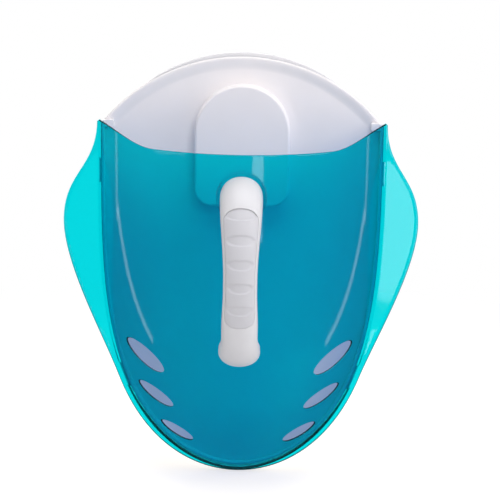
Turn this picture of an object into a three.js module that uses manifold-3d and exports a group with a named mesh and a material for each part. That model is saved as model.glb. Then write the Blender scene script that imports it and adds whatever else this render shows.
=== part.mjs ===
// Bath toy organizer: a translucent scoop with a snap-in back panel and a bow handle,
// which lifts off a hook on a bracket that stays stuck to the bathroom wall.
// Millimetres, +Z up. The scoop faces -Y and the wall is the plane y = 0.
import * as THREE from 'three';
import { mergeVertices } from 'three/addons/utils/BufferGeometryUtils.js';
import Module from 'manifold-3d';

// Pod of the scoop. Heights are counted from its lowest point, the tip, and drops and rises
// from its top. Its level sections are ovals whose middles lie behind the open back, by the flare
// times the pod's depth, so that its side walls spread towards the back.
const POD_HEIGHT = 305;
const POD_HALF_WIDTH = 124;
const POD_DEPTH = 130;
const POD_WALL = 2.4;
const POD_WIDTH_POWER = 3.6;
const POD_DEPTH_POWER = 2.5;
const POD_SECTION_POWER = 2;
const POD_FLARE = 0.5;
const RIM_DIP = 13.8;
const RIM_FLAT_HALF = 73;

// Side wings, and the narrow lip that carries their edge on round the tip.
const WING_HALF_WIDTH = 152.5;
const WING_WIDEST_DROP = 87;
const WING_FOOT_HEIGHT = 82;
const WING_SHEET = 2.4;
const WING_UPPER_PULL = 42;
const WING_LOWER_PULL = 38;
const LIP_WIDTH = 2.5;
const EDGE_BEAD_WIDTH = 2.6;
const EDGE_BEAD_DEPTH = 4.4;

// Drain holes, three on each side, from the top one down. Tilts are in degrees.
const DRAIN_HOLES = [
  { across: 78.4, height: 113.5, length: 38, width: 14, tilt: 35 },
  { across: 69.4, height: 79, length: 33, width: 11, tilt: 28.5 },
  { across: 51.4, height: 46, length: 29.5, width: 10, tilt: 26 },
];

// Back panel, with the hollow boss that takes the hook.
const PANEL_SHEET = 2.4;
const PANEL_CLEARANCE = 0.4;
const PANEL_RIM_WIDTH = 2.4;
const PANEL_RIM_DEPTH = 8.6;
const PANEL_SHOULDER_HALF = 117.5;
const PANEL_SHOULDER_RISE = 0.6;
const PANEL_ARCH_RISE = 55;
const ARCH_BEAD_WIDTH = 2.6;
const ARCH_BEAD_DEPTH = 4.6;
const SHOULDER_TAB_WIDTH = 8;
const SHOULDER_TAB_HEIGHT = 7;
const SHOULDER_TAB_CORNER = 1.5;
const BOSS_SIDE_ROOM = 13.6;
const BOSS_HEAD_ROOM = 7.3;
const BOSS_RISE = 13;
const BOSS_WALL = 2.4;
const BOSS_EDGE_ROUND = 2;
const BOSS_CORNER = 12;
const BOSS_FOOT = 6;
const BUMPER_HALF_SPAN = 42;
const BUMPER_HEIGHT = 62;
const BUMPER_LENGTH = 30;
const BUMPER_WIDTH = 5;

// Snap lugs of the panel, and the windows in the pod's side walls that catch them.
const SNAP_DROPS = [43, 221];
const SNAP_LENGTH = 20;
const SNAP_REACH = 3;
const SNAP_DEPTH = 3.2;
const SNAP_SETBACK = 5;
const SNAP_CLEARANCE = 0.35;

// Wall bracket, its hook and its two adhesive strips.
const STRIP_THICKNESS = 1.6;
const STRIP_LENGTH = 110;
const STRIP_WIDTH = 22;
const STRIP_CORNER = 4;
const STRIP_TOP_MARGIN = 25.6;
const STRIP_BOTTOM_MARGIN = 18;
const BRACKET_PLATE = 3;
const BRACKET_HALF_WIDTH = 90;
const BRACKET_ABOVE_PANEL = 3.6;
const BRACKET_BELOW_HOOK = 42;
const BRACKET_ARCH_RADIUS = 138;
const BRACKET_CORNER = 14;
const BRACKET_EDGE_ROUND = 0.8;
const HANG_GAP = 1;
const HOOK_HALF_WIDTH = 24;
const HOOK_SIDE_CLEARANCE = 3;
const HOOK_CLEARANCE = 0.8;
const HOOK_TONGUE = 3.2;
const HOOK_GRIP = 30;
const HOOK_SHELF = 6;
const HOOK_GUSSET = 6;
const HOOK_LEAD = 5;
const CATCH_DROP = 17;
const SEAT_GAP = 0.3;
const LIFT_OVER = 2;
const LIFT_SPARE = 8;

// Bow handle: a body with a back cover and a soft grip, on two round pads of the pod.
// Pairs are the shares of its length, from the top, between which its section changes.
const HANDLE_DROP = 47.5;
const HANDLE_SPAN = 125;
const HANDLE_BOW = 55;
const HANDLE_TOP_HALF = 17;
const HANDLE_WAIST_HALF = 13.4;
const HANDLE_NECK_HALF = 14.4;
const HANDLE_FOOT_HALF = 16.8;
const HANDLE_TOP_THICK = 17;
const HANDLE_WAIST_THICK = 10.5;
const HANDLE_FOOT_THICK = 12.5;
const HANDLE_SECTION_POWER = 2.1;
const HANDLE_TAPER = [0.05, 0.45];
const HANDLE_NECK = [0.5, 0.7];
const HANDLE_FLARE = [0.76, 0.9];
const HANDLE_UPPER_SWELL = [0, 0.3];
const HANDLE_LOWER_SWELL = [0.72, 1];
const UPPER_PAD_RADIUS = 20.5;
const LOWER_PAD_RADIUS = 13;
const FOOT_PAD_RISE = 1.6;
const FOOT_PAD_ROUND = 0.8;
const INLAY_CLEARANCE = 0.3;
const INLAY_END_POWER = 16;
const GRIP_THICKNESS = 2.4;
const GRIP_TOP_MARGIN = 26.4;
const GRIP_FOOT_MARGIN = 57.3;
const GRIP_BORDER = 2.2;
const COVER_THICKNESS = 2.2;
const COVER_MARGIN = 30;
const COVER_BORDER = 2.6;
const RECESS_COUNT = 5;
const RECESS_FIRST = 25.8;
const RECESS_PITCH = 17.2;
const RECESS_BORDER = 2.8;
const RECESS_HEIGHT = 8.2;
const RECESS_CROWN = 0.35;
const RECESS_DEPTH = 0.9;

// Self-tapping screws that hold the handle from inside the pod.
const SCREW_RADIUS = 2;
const SCREW_LENGTH = 17;
const SCREW_POINT = 3;
const SCREW_HEAD_RADIUS = 4.2;
const SCREW_HEAD_HEIGHT = 2.8;
const SCREW_HEAD_ROUND = 1;
const SCREW_CLEARANCE = 0.3;
const SCREW_SEAT_THICK = 3.4;
const SCREW_SEAT_MARGIN = 1.2;

// Fineness of the curved surfaces.
const POD_COLUMNS = 32;
const POD_ROWS = 18;
const WING_STEPS = 12;
const ARCH_STEPS = 24;
const RIM_STEPS = 28;
const CURVE_SEGMENTS = 8;
const TURNED_SEGMENTS = 24;
const HANDLE_STEPS = 26;
const HANDLE_SIDES = 24;
const INLAY_STEPS = 16;
const INLAY_SIDES = 8;
const RECESS_STEPS = 8;
const ROUND_SEGMENTS = 2;
const CUT_MARGIN = 10;

const BACK_GAP = STRIP_THICKNESS + BRACKET_PLATE + HANG_GAP;
const SECTION_LEVEL = POD_FLARE / (1 + POD_FLARE);
const SECTION_SPREAD = (1 - SECTION_LEVEL ** POD_SECTION_POWER) ** (-1 / POD_SECTION_POWER);
const SECTION_ANGLE = Math.acos(SECTION_LEVEL ** (POD_SECTION_POWER / 2));
const SNAP_HEIGHTS = SNAP_DROPS.map((drop) => POD_HEIGHT - drop);
const PANEL_INSET = POD_WALL + PANEL_CLEARANCE;
const PANEL_ARCH_HEIGHT = POD_HEIGHT + PANEL_ARCH_RISE;
const WING_WIDEST_HEIGHT = POD_HEIGHT - WING_WIDEST_DROP;
const CATCH_HEIGHT = POD_HEIGHT - CATCH_DROP;
const SHELF_TOP = CATCH_HEIGHT - SEAT_GAP;
const SHELF_BOTTOM = SHELF_TOP - HOOK_SHELF;
const HOOK_TOP = CATCH_HEIGHT + HOOK_GRIP;
const LIFT_TRAVEL = HOOK_GRIP + LIFT_OVER;
const SLOT_BOTTOM = SHELF_BOTTOM - LIFT_TRAVEL - LIFT_SPARE;
const POCKET_RADIUS = HOOK_HALF_WIDTH + BOSS_SIDE_ROOM;
const POCKET_ARCH_RISE = Math.sqrt(POCKET_RADIUS ** 2 - HOOK_HALF_WIDTH ** 2);
const BOSS_CENTRE_HEIGHT = HOOK_TOP + BOSS_HEAD_ROOM - POCKET_ARCH_RISE;
const BRACKET_TOP = PANEL_ARCH_HEIGHT + BRACKET_ABOVE_PANEL;
const BRACKET_BOTTOM = SHELF_BOTTOM - HOOK_GUSSET - BRACKET_BELOW_HOOK;
const STRIP_UPPER_HEIGHT = BRACKET_TOP - STRIP_TOP_MARGIN;
const STRIP_LOWER_HEIGHT = BRACKET_BOTTOM + STRIP_BOTTOM_MARGIN;
const HANDLE_UPPER_HEIGHT = POD_HEIGHT - HANDLE_DROP;
const HANDLE_LOWER_HEIGHT = HANDLE_UPPER_HEIGHT - HANDLE_SPAN;
const SCREW_SEAT_PLANE = FOOT_PAD_RISE - SCREW_SEAT_THICK;
const SIDES = [-1, 1];
const X_AXIS = new THREE.Vector3(1, 0, 0);
const Y_AXIS = new THREE.Vector3(0, 1, 0);
const Z_AXIS = new THREE.Vector3(0, 0, 1);

const wasm = await Module();
wasm.setup();

// Solids that can be joined and cut

function solidOf(geometry) {
  const bare = geometry.clone();
  bare.deleteAttribute('normal');
  bare.deleteAttribute('uv');
  const merged = mergeVertices(bare);
  const index = merged.index.array;
  const kept = [];
  for (let i = 0; i < index.length; i += 3) {
    const [a, b, c] = index.slice(i, i + 3);
    if (a !== b && b !== c && c !== a) kept.push(a, b, c);
  }
  const vertProperties = merged.attributes.position.array;
  const triVerts = new Uint32Array(kept);
  return new wasm.Manifold(new wasm.Mesh({ numProp: 3, vertProperties, triVerts }));
}

function geometryOf(solid) {
  const mesh = solid.getMesh();
  const geometry = new THREE.BufferGeometry();
  geometry.setAttribute('position', new THREE.BufferAttribute(mesh.vertProperties, mesh.numProp));
  geometry.setIndex(new THREE.BufferAttribute(mesh.triVerts, 1));
  return geometry;
}

// One form, with others joined to it and then others cut from it.
function shaped(first, added, cut = []) {
  const joined = added.reduce((solid, geometry) => solid.add(solidOf(geometry)), solidOf(first));
  return geometryOf(cut.reduce((solid, geometry) => solid.subtract(solidOf(geometry)), joined));
}

// Forms shared by the pieces

function signedPower(value, power) {
  return Math.sign(value) * Math.abs(value) ** power;
}

// A closed solid through rings of equal length, each counterclockwise about the way onward.
function loft(rings) {
  const sides = rings[0].length;
  const last = rings.length - 1;
  const corner = (ring, side) => ring * sides + (side % sides);
  const index = [];
  for (let ring = 0; ring < last; ring += 1) {
    for (let side = 0; side < sides; side += 1) {
      const [a, b] = [corner(ring, side), corner(ring, side + 1)];
      const [c, d] = [corner(ring + 1, side + 1), corner(ring + 1, side)];
      index.push(a, b, c, a, c, d);
    }
  }
  for (let side = 0; side < Math.floor(sides / 2); side += 1) {
    const far = sides - 1 - side;
    index.push(corner(0, side), corner(0, far - 1), corner(0, side + 1));
    index.push(corner(0, side), corner(0, far), corner(0, far - 1));
    index.push(corner(last, side), corner(last, side + 1), corner(last, far - 1));
    index.push(corner(last, side), corner(last, far - 1), corner(last, far));
  }
  const geometry = new THREE.BufferGeometry().setFromPoints(rings.flat());
  geometry.setIndex(index);
  return geometry;
}

// An upright outline (x, height) made solid from y = back forwards, with rounded edges if asked.
function upright(shape, back, depth, round = 0) {
  const geometry = new THREE.ExtrudeGeometry(shape, {
    depth: depth - 2 * round,
    curveSegments: CURVE_SEGMENTS,
    bevelEnabled: round > 0,
    bevelSize: round,
    bevelThickness: round,
    bevelOffset: -round,
    bevelSegments: ROUND_SEGMENTS,
  });
  geometry.rotateX(Math.PI / 2);
  geometry.translate(0, back - round, 0);
  return geometry;
}

// A side view (y, height) made solid across the middle plane.
function crosswise(shape, halfWidth) {
  const geometry = new THREE.ExtrudeGeometry(shape, { depth: 2 * halfWidth, bevelEnabled: false });
  geometry.applyMatrix4(new THREE.Matrix4().makeBasis(Y_AXIS, Z_AXIS, X_AXIS));
  geometry.translate(-halfWidth, 0, 0);
  return geometry;
}

function roundedRectangle(x, height, width, tall, corner) {
  const [right, top] = [x + width / 2 - corner, height + tall / 2 - corner];
  const [left, bottom] = [x - width / 2 + corner, height - tall / 2 + corner];
  const shape = new THREE.Shape();
  shape.absarc(right, top, corner, 0, Math.PI / 2);
  shape.absarc(left, top, corner, Math.PI / 2, Math.PI);
  shape.absarc(left, bottom, corner, Math.PI, 1.5 * Math.PI);
  shape.absarc(right, bottom, corner, 1.5 * Math.PI, 2 * Math.PI);
  return shape;
}

function mirrored(points) {
  return points.map((point) => new THREE.Vector2(-point.x, point.y)).reverse();
}

// The strip between a path and the same path moved to its left.
function band(path, width) {
  const moved = path.map((point, i) => {
    const before = path[Math.max(i - 1, 0)];
    const after = path[Math.min(i + 1, path.length - 1)];
    const along = after.clone().sub(before).normalize();
    return new THREE.Vector2(point.x - width * along.y, point.y + width * along.x);
  });
  return new THREE.Shape([...path, ...moved.reverse()]);
}

// The pod's form

function podSize(height, inset) {
  const rise = THREE.MathUtils.clamp((height - inset) / (POD_HEIGHT - inset), 0, 1);
  return {
    halfWidth: (POD_HALF_WIDTH - inset) * Math.sqrt(1 - (1 - rise) ** POD_WIDTH_POWER),
    depth: (POD_DEPTH - inset) * Math.sqrt(1 - (1 - rise) ** POD_DEPTH_POWER),
  };
}

// Share of the pod's height at a row, with the rows closest together at the tip.
function rowRise(row) {
  return 1 - Math.cos((row / POD_ROWS) * (Math.PI / 2));
}

function podRing(height, inset, back) {
  const { halfWidth, depth } = podSize(height, inset);
  const power = 2 / POD_SECTION_POWER;
  const ring = [];
  for (let column = 0; column <= POD_COLUMNS; column += 1) {
    const angle = SECTION_ANGLE * ((2 * column) / POD_COLUMNS - 1);
    const x = halfWidth * SECTION_SPREAD * signedPower(Math.sin(angle), power);
    const onBack = column === 0 || column === POD_COLUMNS;
    const reach = (1 + POD_FLARE) * Math.cos(angle) ** power - POD_FLARE;
    ring.push(new THREE.Vector3(x, onBack ? 0 : -depth * reach, height));
  }
  if (back > 0) {
    ring.push(new THREE.Vector3(halfWidth, back, height));
    ring.push(new THREE.Vector3(-halfWidth, back, height));
  }
  return ring;
}

// The pod's volume, run on above its rim and, for its hollow, out through its open back.
function podVolume(inset, above, back) {
  const rings = [];
  for (let row = 0; row <= POD_ROWS; row += 1) {
    rings.push(podRing(inset + (POD_HEIGHT - inset) * rowRise(row), inset, back));
  }
  const top = rings[POD_ROWS].map((point) => point.clone().setZ(POD_HEIGHT + above));
  return loft([...rings, top]);
}

// The pod's half width at a depth in front of its back plane.
function podHalfWidth(height, inset, depth) {
  const size = podSize(height, inset);
  const level = (depth / size.depth + POD_FLARE) / (1 + POD_FLARE);
  const kept = Math.max(0, 1 - level ** POD_SECTION_POWER);
  return size.halfWidth * SECTION_SPREAD * kept ** (1 / POD_SECTION_POWER);
}

// The pod's right-hand outline from below upwards, cut at a depth in front of its back plane.
function podOutline(inset, depth) {
  const lowest = 1 - (1 - (depth / (POD_DEPTH - inset)) ** 2) ** (1 / POD_DEPTH_POWER);
  const points = [new THREE.Vector2(0, inset + (POD_HEIGHT - inset) * lowest)];
  for (let step = 1; step <= POD_ROWS; step += 1) {
    const share = rowRise(step);
    const height = inset + (POD_HEIGHT - inset) * (lowest + (1 - lowest) * share);
    points.push(new THREE.Vector2(podHalfWidth(height, inset, depth), height));
  }
  return points;
}

function rimHeight(x) {
  const rise = THREE.MathUtils.smoothstep(Math.abs(x), RIM_FLAT_HALF, POD_HALF_WIDTH);
  return POD_HEIGHT - RIM_DIP * (1 - rise);
}

// Place and outward direction of a handle foot on the middle of the pod's front, and its pad.
function footSeat(height, padRadius) {
  const lean = podSize(height + 0.5, 0).depth - podSize(height - 0.5, 0).depth;
  const tilt = Math.atan(lean);
  return {
    skin: new THREE.Vector3(0, -podSize(height, 0).depth, height),
    outward: new THREE.Vector3(0, -Math.cos(tilt), -Math.sin(tilt)),
    padRadius,
  };
}

const FOOT_SEATS = [
  footSeat(HANDLE_UPPER_HEIGHT, UPPER_PAD_RADIUS),
  footSeat(HANDLE_LOWER_HEIGHT, LOWER_PAD_RADIUS),
];

// A turned form on the axis of a handle foot, from (radius, distance outside the pod's skin).
function turnedAtFoot(profile, seat) {
  const points = profile.map(([radius, along]) => new THREE.Vector2(radius, along));
  const geometry = new THREE.LatheGeometry(points, TURNED_SEGMENTS);
  geometry.applyQuaternion(new THREE.Quaternion().setFromUnitVectors(Y_AXIS, seat.outward));
  geometry.translate(seat.skin.x, seat.skin.y, seat.skin.z);
  return geometry;
}

// Snap fit between the pod and the panel: a prism along the panel's side edge,
// from a section (distance outside that edge, y).
function alongEdge(section, height, length, side) {
  const edge = (at) => podHalfWidth(at, PANEL_INSET, PANEL_RIM_DEPTH);
  const lean = edge(height + SNAP_LENGTH / 2) - edge(height - SNAP_LENGTH / 2);
  const shape = new THREE.Shape(section.map(([out, y]) => new THREE.Vector2(side * out, y)));
  const geometry = new THREE.ExtrudeGeometry(shape, { depth: length, bevelEnabled: false });
  geometry.translate(0, 0, -length / 2);
  geometry.rotateY(side * Math.atan2(lean, SNAP_LENGTH));
  geometry.translate(side * edge(height), 0, height);
  return geometry;
}

function alongEachEdge(section, length) {
  return SNAP_HEIGHTS.flatMap((height) => SIDES.map((side) => alongEdge(section, height, length, side)));
}

// Scoop shell

// The right-hand edge of the shell's back plate: lip, wing and top corner, from the tip upwards.
function wingEdge() {
  const lipHalf = (height) => podSize(height, -LIP_WIDTH).halfWidth;
  const foot = new THREE.Vector2(lipHalf(WING_FOOT_HEIGHT), WING_FOOT_HEIGHT);
  const footLean = lipHalf(WING_FOOT_HEIGHT) - lipHalf(WING_FOOT_HEIGHT - 1);
  const footPull = new THREE.Vector2(footLean, 1).setLength(WING_LOWER_PULL);
  const widest = new THREE.Vector2(WING_HALF_WIDTH, WING_WIDEST_HEIGHT);
  const corner = new THREE.Vector2(POD_HALF_WIDTH, POD_HEIGHT);
  const lower = new THREE.CubicBezierCurve(
    foot,
    foot.clone().add(footPull),
    new THREE.Vector2(WING_HALF_WIDTH, WING_WIDEST_HEIGHT - WING_LOWER_PULL),
    widest,
  );
  const upper = new THREE.CubicBezierCurve(
    widest,
    new THREE.Vector2(WING_HALF_WIDTH, WING_WIDEST_HEIGHT + WING_UPPER_PULL),
    new THREE.Vector2(POD_HALF_WIDTH, POD_HEIGHT - WING_UPPER_PULL),
    corner,
  );
  const lip = podOutline(-LIP_WIDTH, 0).filter((point) => point.y < WING_FOOT_HEIGHT - LIP_WIDTH);
  const wing = [...lower.getPoints(WING_STEPS), ...upper.getPoints(WING_STEPS).slice(1)];
  return [...lip, ...wing, corner.clone().setY(POD_HEIGHT + CUT_MARGIN)];
}

// Everything above the rim, which dips to the front and rises to the top corners.
function rimCutter() {
  const reach = WING_HALF_WIDTH + CUT_MARGIN;
  const shape = new THREE.Shape();
  shape.moveTo(-reach, POD_HEIGHT);
  for (let step = 0; step <= RIM_STEPS; step += 1) {
    const x = POD_HALF_WIDTH * ((2 * step) / RIM_STEPS - 1);
    shape.lineTo(x, rimHeight(x));
  }
  shape.lineTo(reach, POD_HEIGHT);
  shape.lineTo(reach, POD_HEIGHT + 2 * CUT_MARGIN);
  shape.lineTo(-reach, POD_HEIGHT + 2 * CUT_MARGIN);
  return upright(shape, CUT_MARGIN, POD_DEPTH + 2 * CUT_MARGIN);
}

function drainCutter(hole, side) {
  const [along, through] = [hole.length / 2, hole.width / 2];
  const tilt = side * THREE.MathUtils.degToRad(hole.tilt);
  const shape = new THREE.Shape();
  shape.absellipse(side * hole.across, hole.height, along, through, 0, 2 * Math.PI, false, tilt);
  return upright(shape, -PANEL_RIM_DEPTH, POD_DEPTH);
}

function footPad(seat) {
  return turnedAtFoot([
    [0, -CUT_MARGIN],
    [seat.padRadius, -CUT_MARGIN],
    [seat.padRadius, FOOT_PAD_RISE - FOOT_PAD_ROUND],
    [seat.padRadius - FOOT_PAD_ROUND, FOOT_PAD_RISE],
    [0, FOOT_PAD_RISE],
  ], seat);
}

// A clear hole through the pad, with a flat seat for the screw's head on the inside.
function screwCutter(seat) {
  const hole = SCREW_RADIUS + SCREW_CLEARANCE;
  const spot = SCREW_HEAD_RADIUS + SCREW_SEAT_MARGIN;
  return turnedAtFoot([
    [0, -2 * CUT_MARGIN],
    [spot, -2 * CUT_MARGIN],
    [spot, SCREW_SEAT_PLANE],
    [hole, SCREW_SEAT_PLANE],
    [hole, FOOT_PAD_RISE + CUT_MARGIN],
    [0, FOOT_PAD_RISE + CUT_MARGIN],
  ], seat);
}

function snapWindows() {
  const back = SNAP_CLEARANCE - SNAP_SETBACK;
  const front = -SNAP_SETBACK - SNAP_DEPTH - SNAP_CLEARANCE;
  const reach = SNAP_REACH + POD_WALL;
  const section = [[-POD_WALL, front], [reach, front], [reach, back], [-POD_WALL, back]];
  return alongEachEdge(section, SNAP_LENGTH + 2 * SNAP_CLEARANCE);
}

function scoopShellGeometry() {
  const edge = wingEdge();
  const outline = [...mirrored(edge), ...edge.slice(1)];
  const plate = upright(new THREE.Shape(outline), 0, WING_SHEET);
  const bead = upright(band(outline, EDGE_BEAD_WIDTH), 0, EDGE_BEAD_DEPTH);
  const hollow = podVolume(POD_WALL, 3 * CUT_MARGIN, CUT_MARGIN);
  const drains = DRAIN_HOLES.flatMap((hole) => SIDES.map((side) => drainCutter(hole, side)));
  return shaped(
    podVolume(0, CUT_MARGIN, 0),
    [plate, bead, ...FOOT_SEATS.map(footPad)],
    [hollow, rimCutter(), ...drains, ...FOOT_SEATS.map(screwCutter), ...snapWindows()],
  );
}

// Back panel

function panelArch() {
  const shoulder = POD_HEIGHT + PANEL_SHOULDER_RISE;
  const rise = PANEL_ARCH_HEIGHT - shoulder;
  const radius = (PANEL_SHOULDER_HALF ** 2 + rise ** 2) / (2 * rise);
  const start = Math.asin((radius - rise) / radius);
  const arc = new THREE.EllipseCurve(0, PANEL_ARCH_HEIGHT - radius, radius, radius, start, Math.PI - start);
  return arc.getPoints(ARCH_STEPS);
}

// The boss's outline, round at the top and square at the foot, at a wall outside its pocket.
function bossShape(wall) {
  const half = POCKET_RADIUS + wall;
  const corner = BOSS_CORNER + wall;
  const low = SLOT_BOTTOM - BOSS_FOOT - wall + corner;
  const shape = new THREE.Shape();
  shape.absarc(0, BOSS_CENTRE_HEIGHT, half, 0, Math.PI);
  shape.absarc(corner - half, low, corner, Math.PI, 1.5 * Math.PI);
  shape.absarc(half - corner, low, corner, 1.5 * Math.PI, 2 * Math.PI);
  return shape;
}

function hookSlot() {
  const half = HOOK_HALF_WIDTH + HOOK_SIDE_CLEARANCE;
  const shape = new THREE.Shape();
  shape.moveTo(-half, SLOT_BOTTOM);
  shape.lineTo(half, SLOT_BOTTOM);
  shape.lineTo(half, CATCH_HEIGHT);
  shape.lineTo(-half, CATCH_HEIGHT);
  return upright(shape, CUT_MARGIN, CUT_MARGIN + PANEL_SHEET + BOSS_WALL);
}

function shoulderTab(side) {
  const x = side * (PANEL_SHOULDER_HALF - SHOULDER_TAB_WIDTH / 2);
  const height = POD_HEIGHT + PANEL_SHOULDER_RISE - SHOULDER_TAB_HEIGHT / 2;
  const shape = roundedRectangle(x, height, SHOULDER_TAB_WIDTH, SHOULDER_TAB_HEIGHT, SHOULDER_TAB_CORNER);
  return upright(shape, 0, PANEL_RIM_DEPTH);
}

// A rib behind the panel that keeps the scoop plumb against the wall.
function bumper(side) {
  const x = side * BUMPER_HALF_SPAN;
  const shape = roundedRectangle(x, BUMPER_HEIGHT, BUMPER_WIDTH, BUMPER_LENGTH, BUMPER_WIDTH / 2);
  const back = BACK_GAP - SEAT_GAP;
  return upright(shape, back, back + PANEL_SHEET / 2);
}

function snapLugs() {
  const root = -PANEL_RIM_WIDTH / 2;
  const [back, front] = [-SNAP_SETBACK, -SNAP_SETBACK - SNAP_DEPTH];
  const section = [[root, front], [0, front], [SNAP_REACH, back], [root, back]];
  return alongEachEdge(section, SNAP_LENGTH);
}

function backPanelGeometry() {
  const edge = podOutline(PANEL_INSET, PANEL_RIM_DEPTH);
  const sides = [...mirrored(edge), ...edge.slice(1)];
  const arch = panelArch();
  const sheet = upright(new THREE.Shape([...sides, ...arch]), 0, PANEL_SHEET);
  const rim = upright(band(sides, PANEL_RIM_WIDTH), 0, PANEL_RIM_DEPTH);
  const archBead = upright(band(arch, ARCH_BEAD_WIDTH), 0, ARCH_BEAD_DEPTH);
  const boss = upright(bossShape(BOSS_WALL), 0, PANEL_SHEET + BOSS_RISE, BOSS_EDGE_ROUND);
  const pocket = upright(bossShape(0), -PANEL_SHEET, BOSS_RISE - BOSS_WALL);
  return shaped(
    sheet,
    [rim, archBead, boss, ...SIDES.map(shoulderTab), ...SIDES.map(bumper), ...snapLugs()],
    [pocket, hookSlot()],
  );
}

// Wall bracket and its strips

function bracketShape() {
  const centre = BRACKET_TOP - BRACKET_ARCH_RADIUS;
  const half = BRACKET_HALF_WIDTH;
  const corner = BRACKET_CORNER;
  const archAt = (x) => centre + Math.sqrt(BRACKET_ARCH_RADIUS ** 2 - x ** 2);
  const start = Math.acos((half - corner) / BRACKET_ARCH_RADIUS);
  const shape = new THREE.Shape();
  shape.moveTo(half, archAt(half) - corner);
  shape.quadraticCurveTo(half, archAt(half), half - corner, archAt(half - corner));
  shape.absarc(0, centre, BRACKET_ARCH_RADIUS, start, Math.PI - start);
  shape.quadraticCurveTo(-half, archAt(half), -half, archAt(half) - corner);
  shape.absarc(corner - half, BRACKET_BOTTOM + corner, corner, Math.PI, 1.5 * Math.PI);
  shape.absarc(half - corner, BRACKET_BOTTOM + corner, corner, 1.5 * Math.PI, 2 * Math.PI);
  return shape;
}

// The hook in side view: a shelf out from the plate and a tongue standing up from it.
function hookShape() {
  const root = -STRIP_THICKNESS - BRACKET_PLATE / 2;
  const tongueBack = -BACK_GAP - PANEL_SHEET - HOOK_CLEARANCE;
  const tongueFront = tongueBack - HOOK_TONGUE;
  const shape = new THREE.Shape();
  shape.moveTo(root, SHELF_BOTTOM - HOOK_GUSSET);
  shape.lineTo(root, SHELF_TOP);
  shape.lineTo(tongueBack, SHELF_TOP);
  shape.lineTo(tongueBack, HOOK_TOP - HOOK_LEAD);
  shape.quadraticCurveTo(tongueBack, HOOK_TOP, tongueFront + HOOK_TONGUE / 4, HOOK_TOP);
  shape.quadraticCurveTo(tongueFront, HOOK_TOP, tongueFront, HOOK_TOP - HOOK_TONGUE / 2);
  shape.lineTo(tongueFront, SHELF_BOTTOM + HOOK_SHELF / 2);
  shape.quadraticCurveTo(tongueFront, SHELF_BOTTOM, tongueFront + HOOK_SHELF / 2, SHELF_BOTTOM);
  return shape;
}

function wallBracketGeometry() {
  const plate = upright(bracketShape(), -STRIP_THICKNESS, BRACKET_PLATE, BRACKET_EDGE_ROUND);
  return shaped(plate, [crosswise(hookShape(), HOOK_HALF_WIDTH)]);
}

function stripGeometry(height) {
  const shape = roundedRectangle(0, height, STRIP_LENGTH, STRIP_WIDTH, STRIP_CORNER);
  return shaped(upright(shape, 0, STRIP_THICKNESS), []);
}

// Handle

function handleCurve() {
  const ends = FOOT_SEATS.map((seat) => (
    seat.skin.clone().addScaledVector(seat.outward, FOOT_PAD_RISE + SEAT_GAP)
  ));
  const pulls = ends.map((end, i) => end.clone().addScaledVector(FOOT_SEATS[i].outward, HANDLE_BOW));
  return new THREE.CubicBezierCurve3(ends[0], pulls[0], pulls[1], ends[1]);
}

const HANDLE_CURVE = handleCurve();
const HANDLE_LENGTH = HANDLE_CURVE.getLength();

// Half sizes of the handle's section, across and through, at a share of its length.
function handleSize(share) {
  const past = ([from, to]) => THREE.MathUtils.smoothstep(share, from, to);
  const taper = (HANDLE_TOP_HALF - HANDLE_WAIST_HALF) * (1 - past(HANDLE_TAPER));
  const neck = (HANDLE_NECK_HALF - HANDLE_WAIST_HALF) * past(HANDLE_NECK);
  const flare = (HANDLE_FOOT_HALF - HANDLE_NECK_HALF) * past(HANDLE_FLARE);
  const upper = (HANDLE_TOP_THICK - HANDLE_WAIST_THICK) * (1 - past(HANDLE_UPPER_SWELL));
  const lower = (HANDLE_FOOT_THICK - HANDLE_WAIST_THICK) * past(HANDLE_LOWER_SWELL);
  return {
    across: HANDLE_WAIST_HALF + taper + neck + flare,
    through: HANDLE_WAIST_THICK + upper + lower,
  };
}

// A point of the handle's skin, or at a distance outside it, by share of length and angle.
function handlePoint(share, angle, outside) {
  const { across, through } = handleSize(share);
  const tangent = HANDLE_CURVE.getTangentAt(share);
  const outward = new THREE.Vector3().crossVectors(tangent, X_AXIS);
  const power = 2 / HANDLE_SECTION_POWER;
  return HANDLE_CURVE.getPointAt(share)
    .addScaledVector(X_AXIS, (across + outside) * signedPower(Math.cos(angle), power))
    .addScaledVector(outward, (through + outside) * signedPower(Math.sin(angle), power));
}

function handleVolume() {
  const rings = [];
  for (let step = 0; step <= HANDLE_STEPS; step += 1) {
    const ring = [];
    for (let side = 0; side < HANDLE_SIDES; side += 1) {
      ring.push(handlePoint(step / HANDLE_STEPS, 2 * Math.PI * ((side + 0.5) / HANDLE_SIDES), 0));
    }
    rings.push(ring);
  }
  return loft(rings);
}

// A layer of the handle's skin, between two distances along it and two depths,
// as wide at each share of its own length as halfAngle says.
function handleLayer({ facing, from, to, outside, inside, halfAngle, steps }) {
  const rings = [];
  for (let step = 0; step <= steps; step += 1) {
    const along = (1 - Math.cos((step / steps) * Math.PI)) / 2;
    const share = (from + (to - from) * along) / HANDLE_LENGTH;
    const reach = halfAngle(along, handleSize(share).across);
    const arc = (depth) => Array.from({ length: INLAY_SIDES + 1 }, (_, side) => (
      handlePoint(share, facing + reach * ((2 * side) / INLAY_SIDES - 1), depth)
    ));
    rings.push([...arc(outside), ...arc(inside).reverse()]);
  }
  return loft(rings);
}

// The angle that a border of the handle's face leaves to an inlay, which has round ends.
function borderAngle(border, grow) {
  return (along, across) => {
    const ends = Math.sqrt(Math.max(0, 1 - Math.abs(2 * along - 1) ** INLAY_END_POWER));
    const edge = Math.max(0, 1 - (border - grow) / across);
    return Math.asin(edge ** (HANDLE_SECTION_POWER / 2)) * ends;
  };
}

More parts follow.
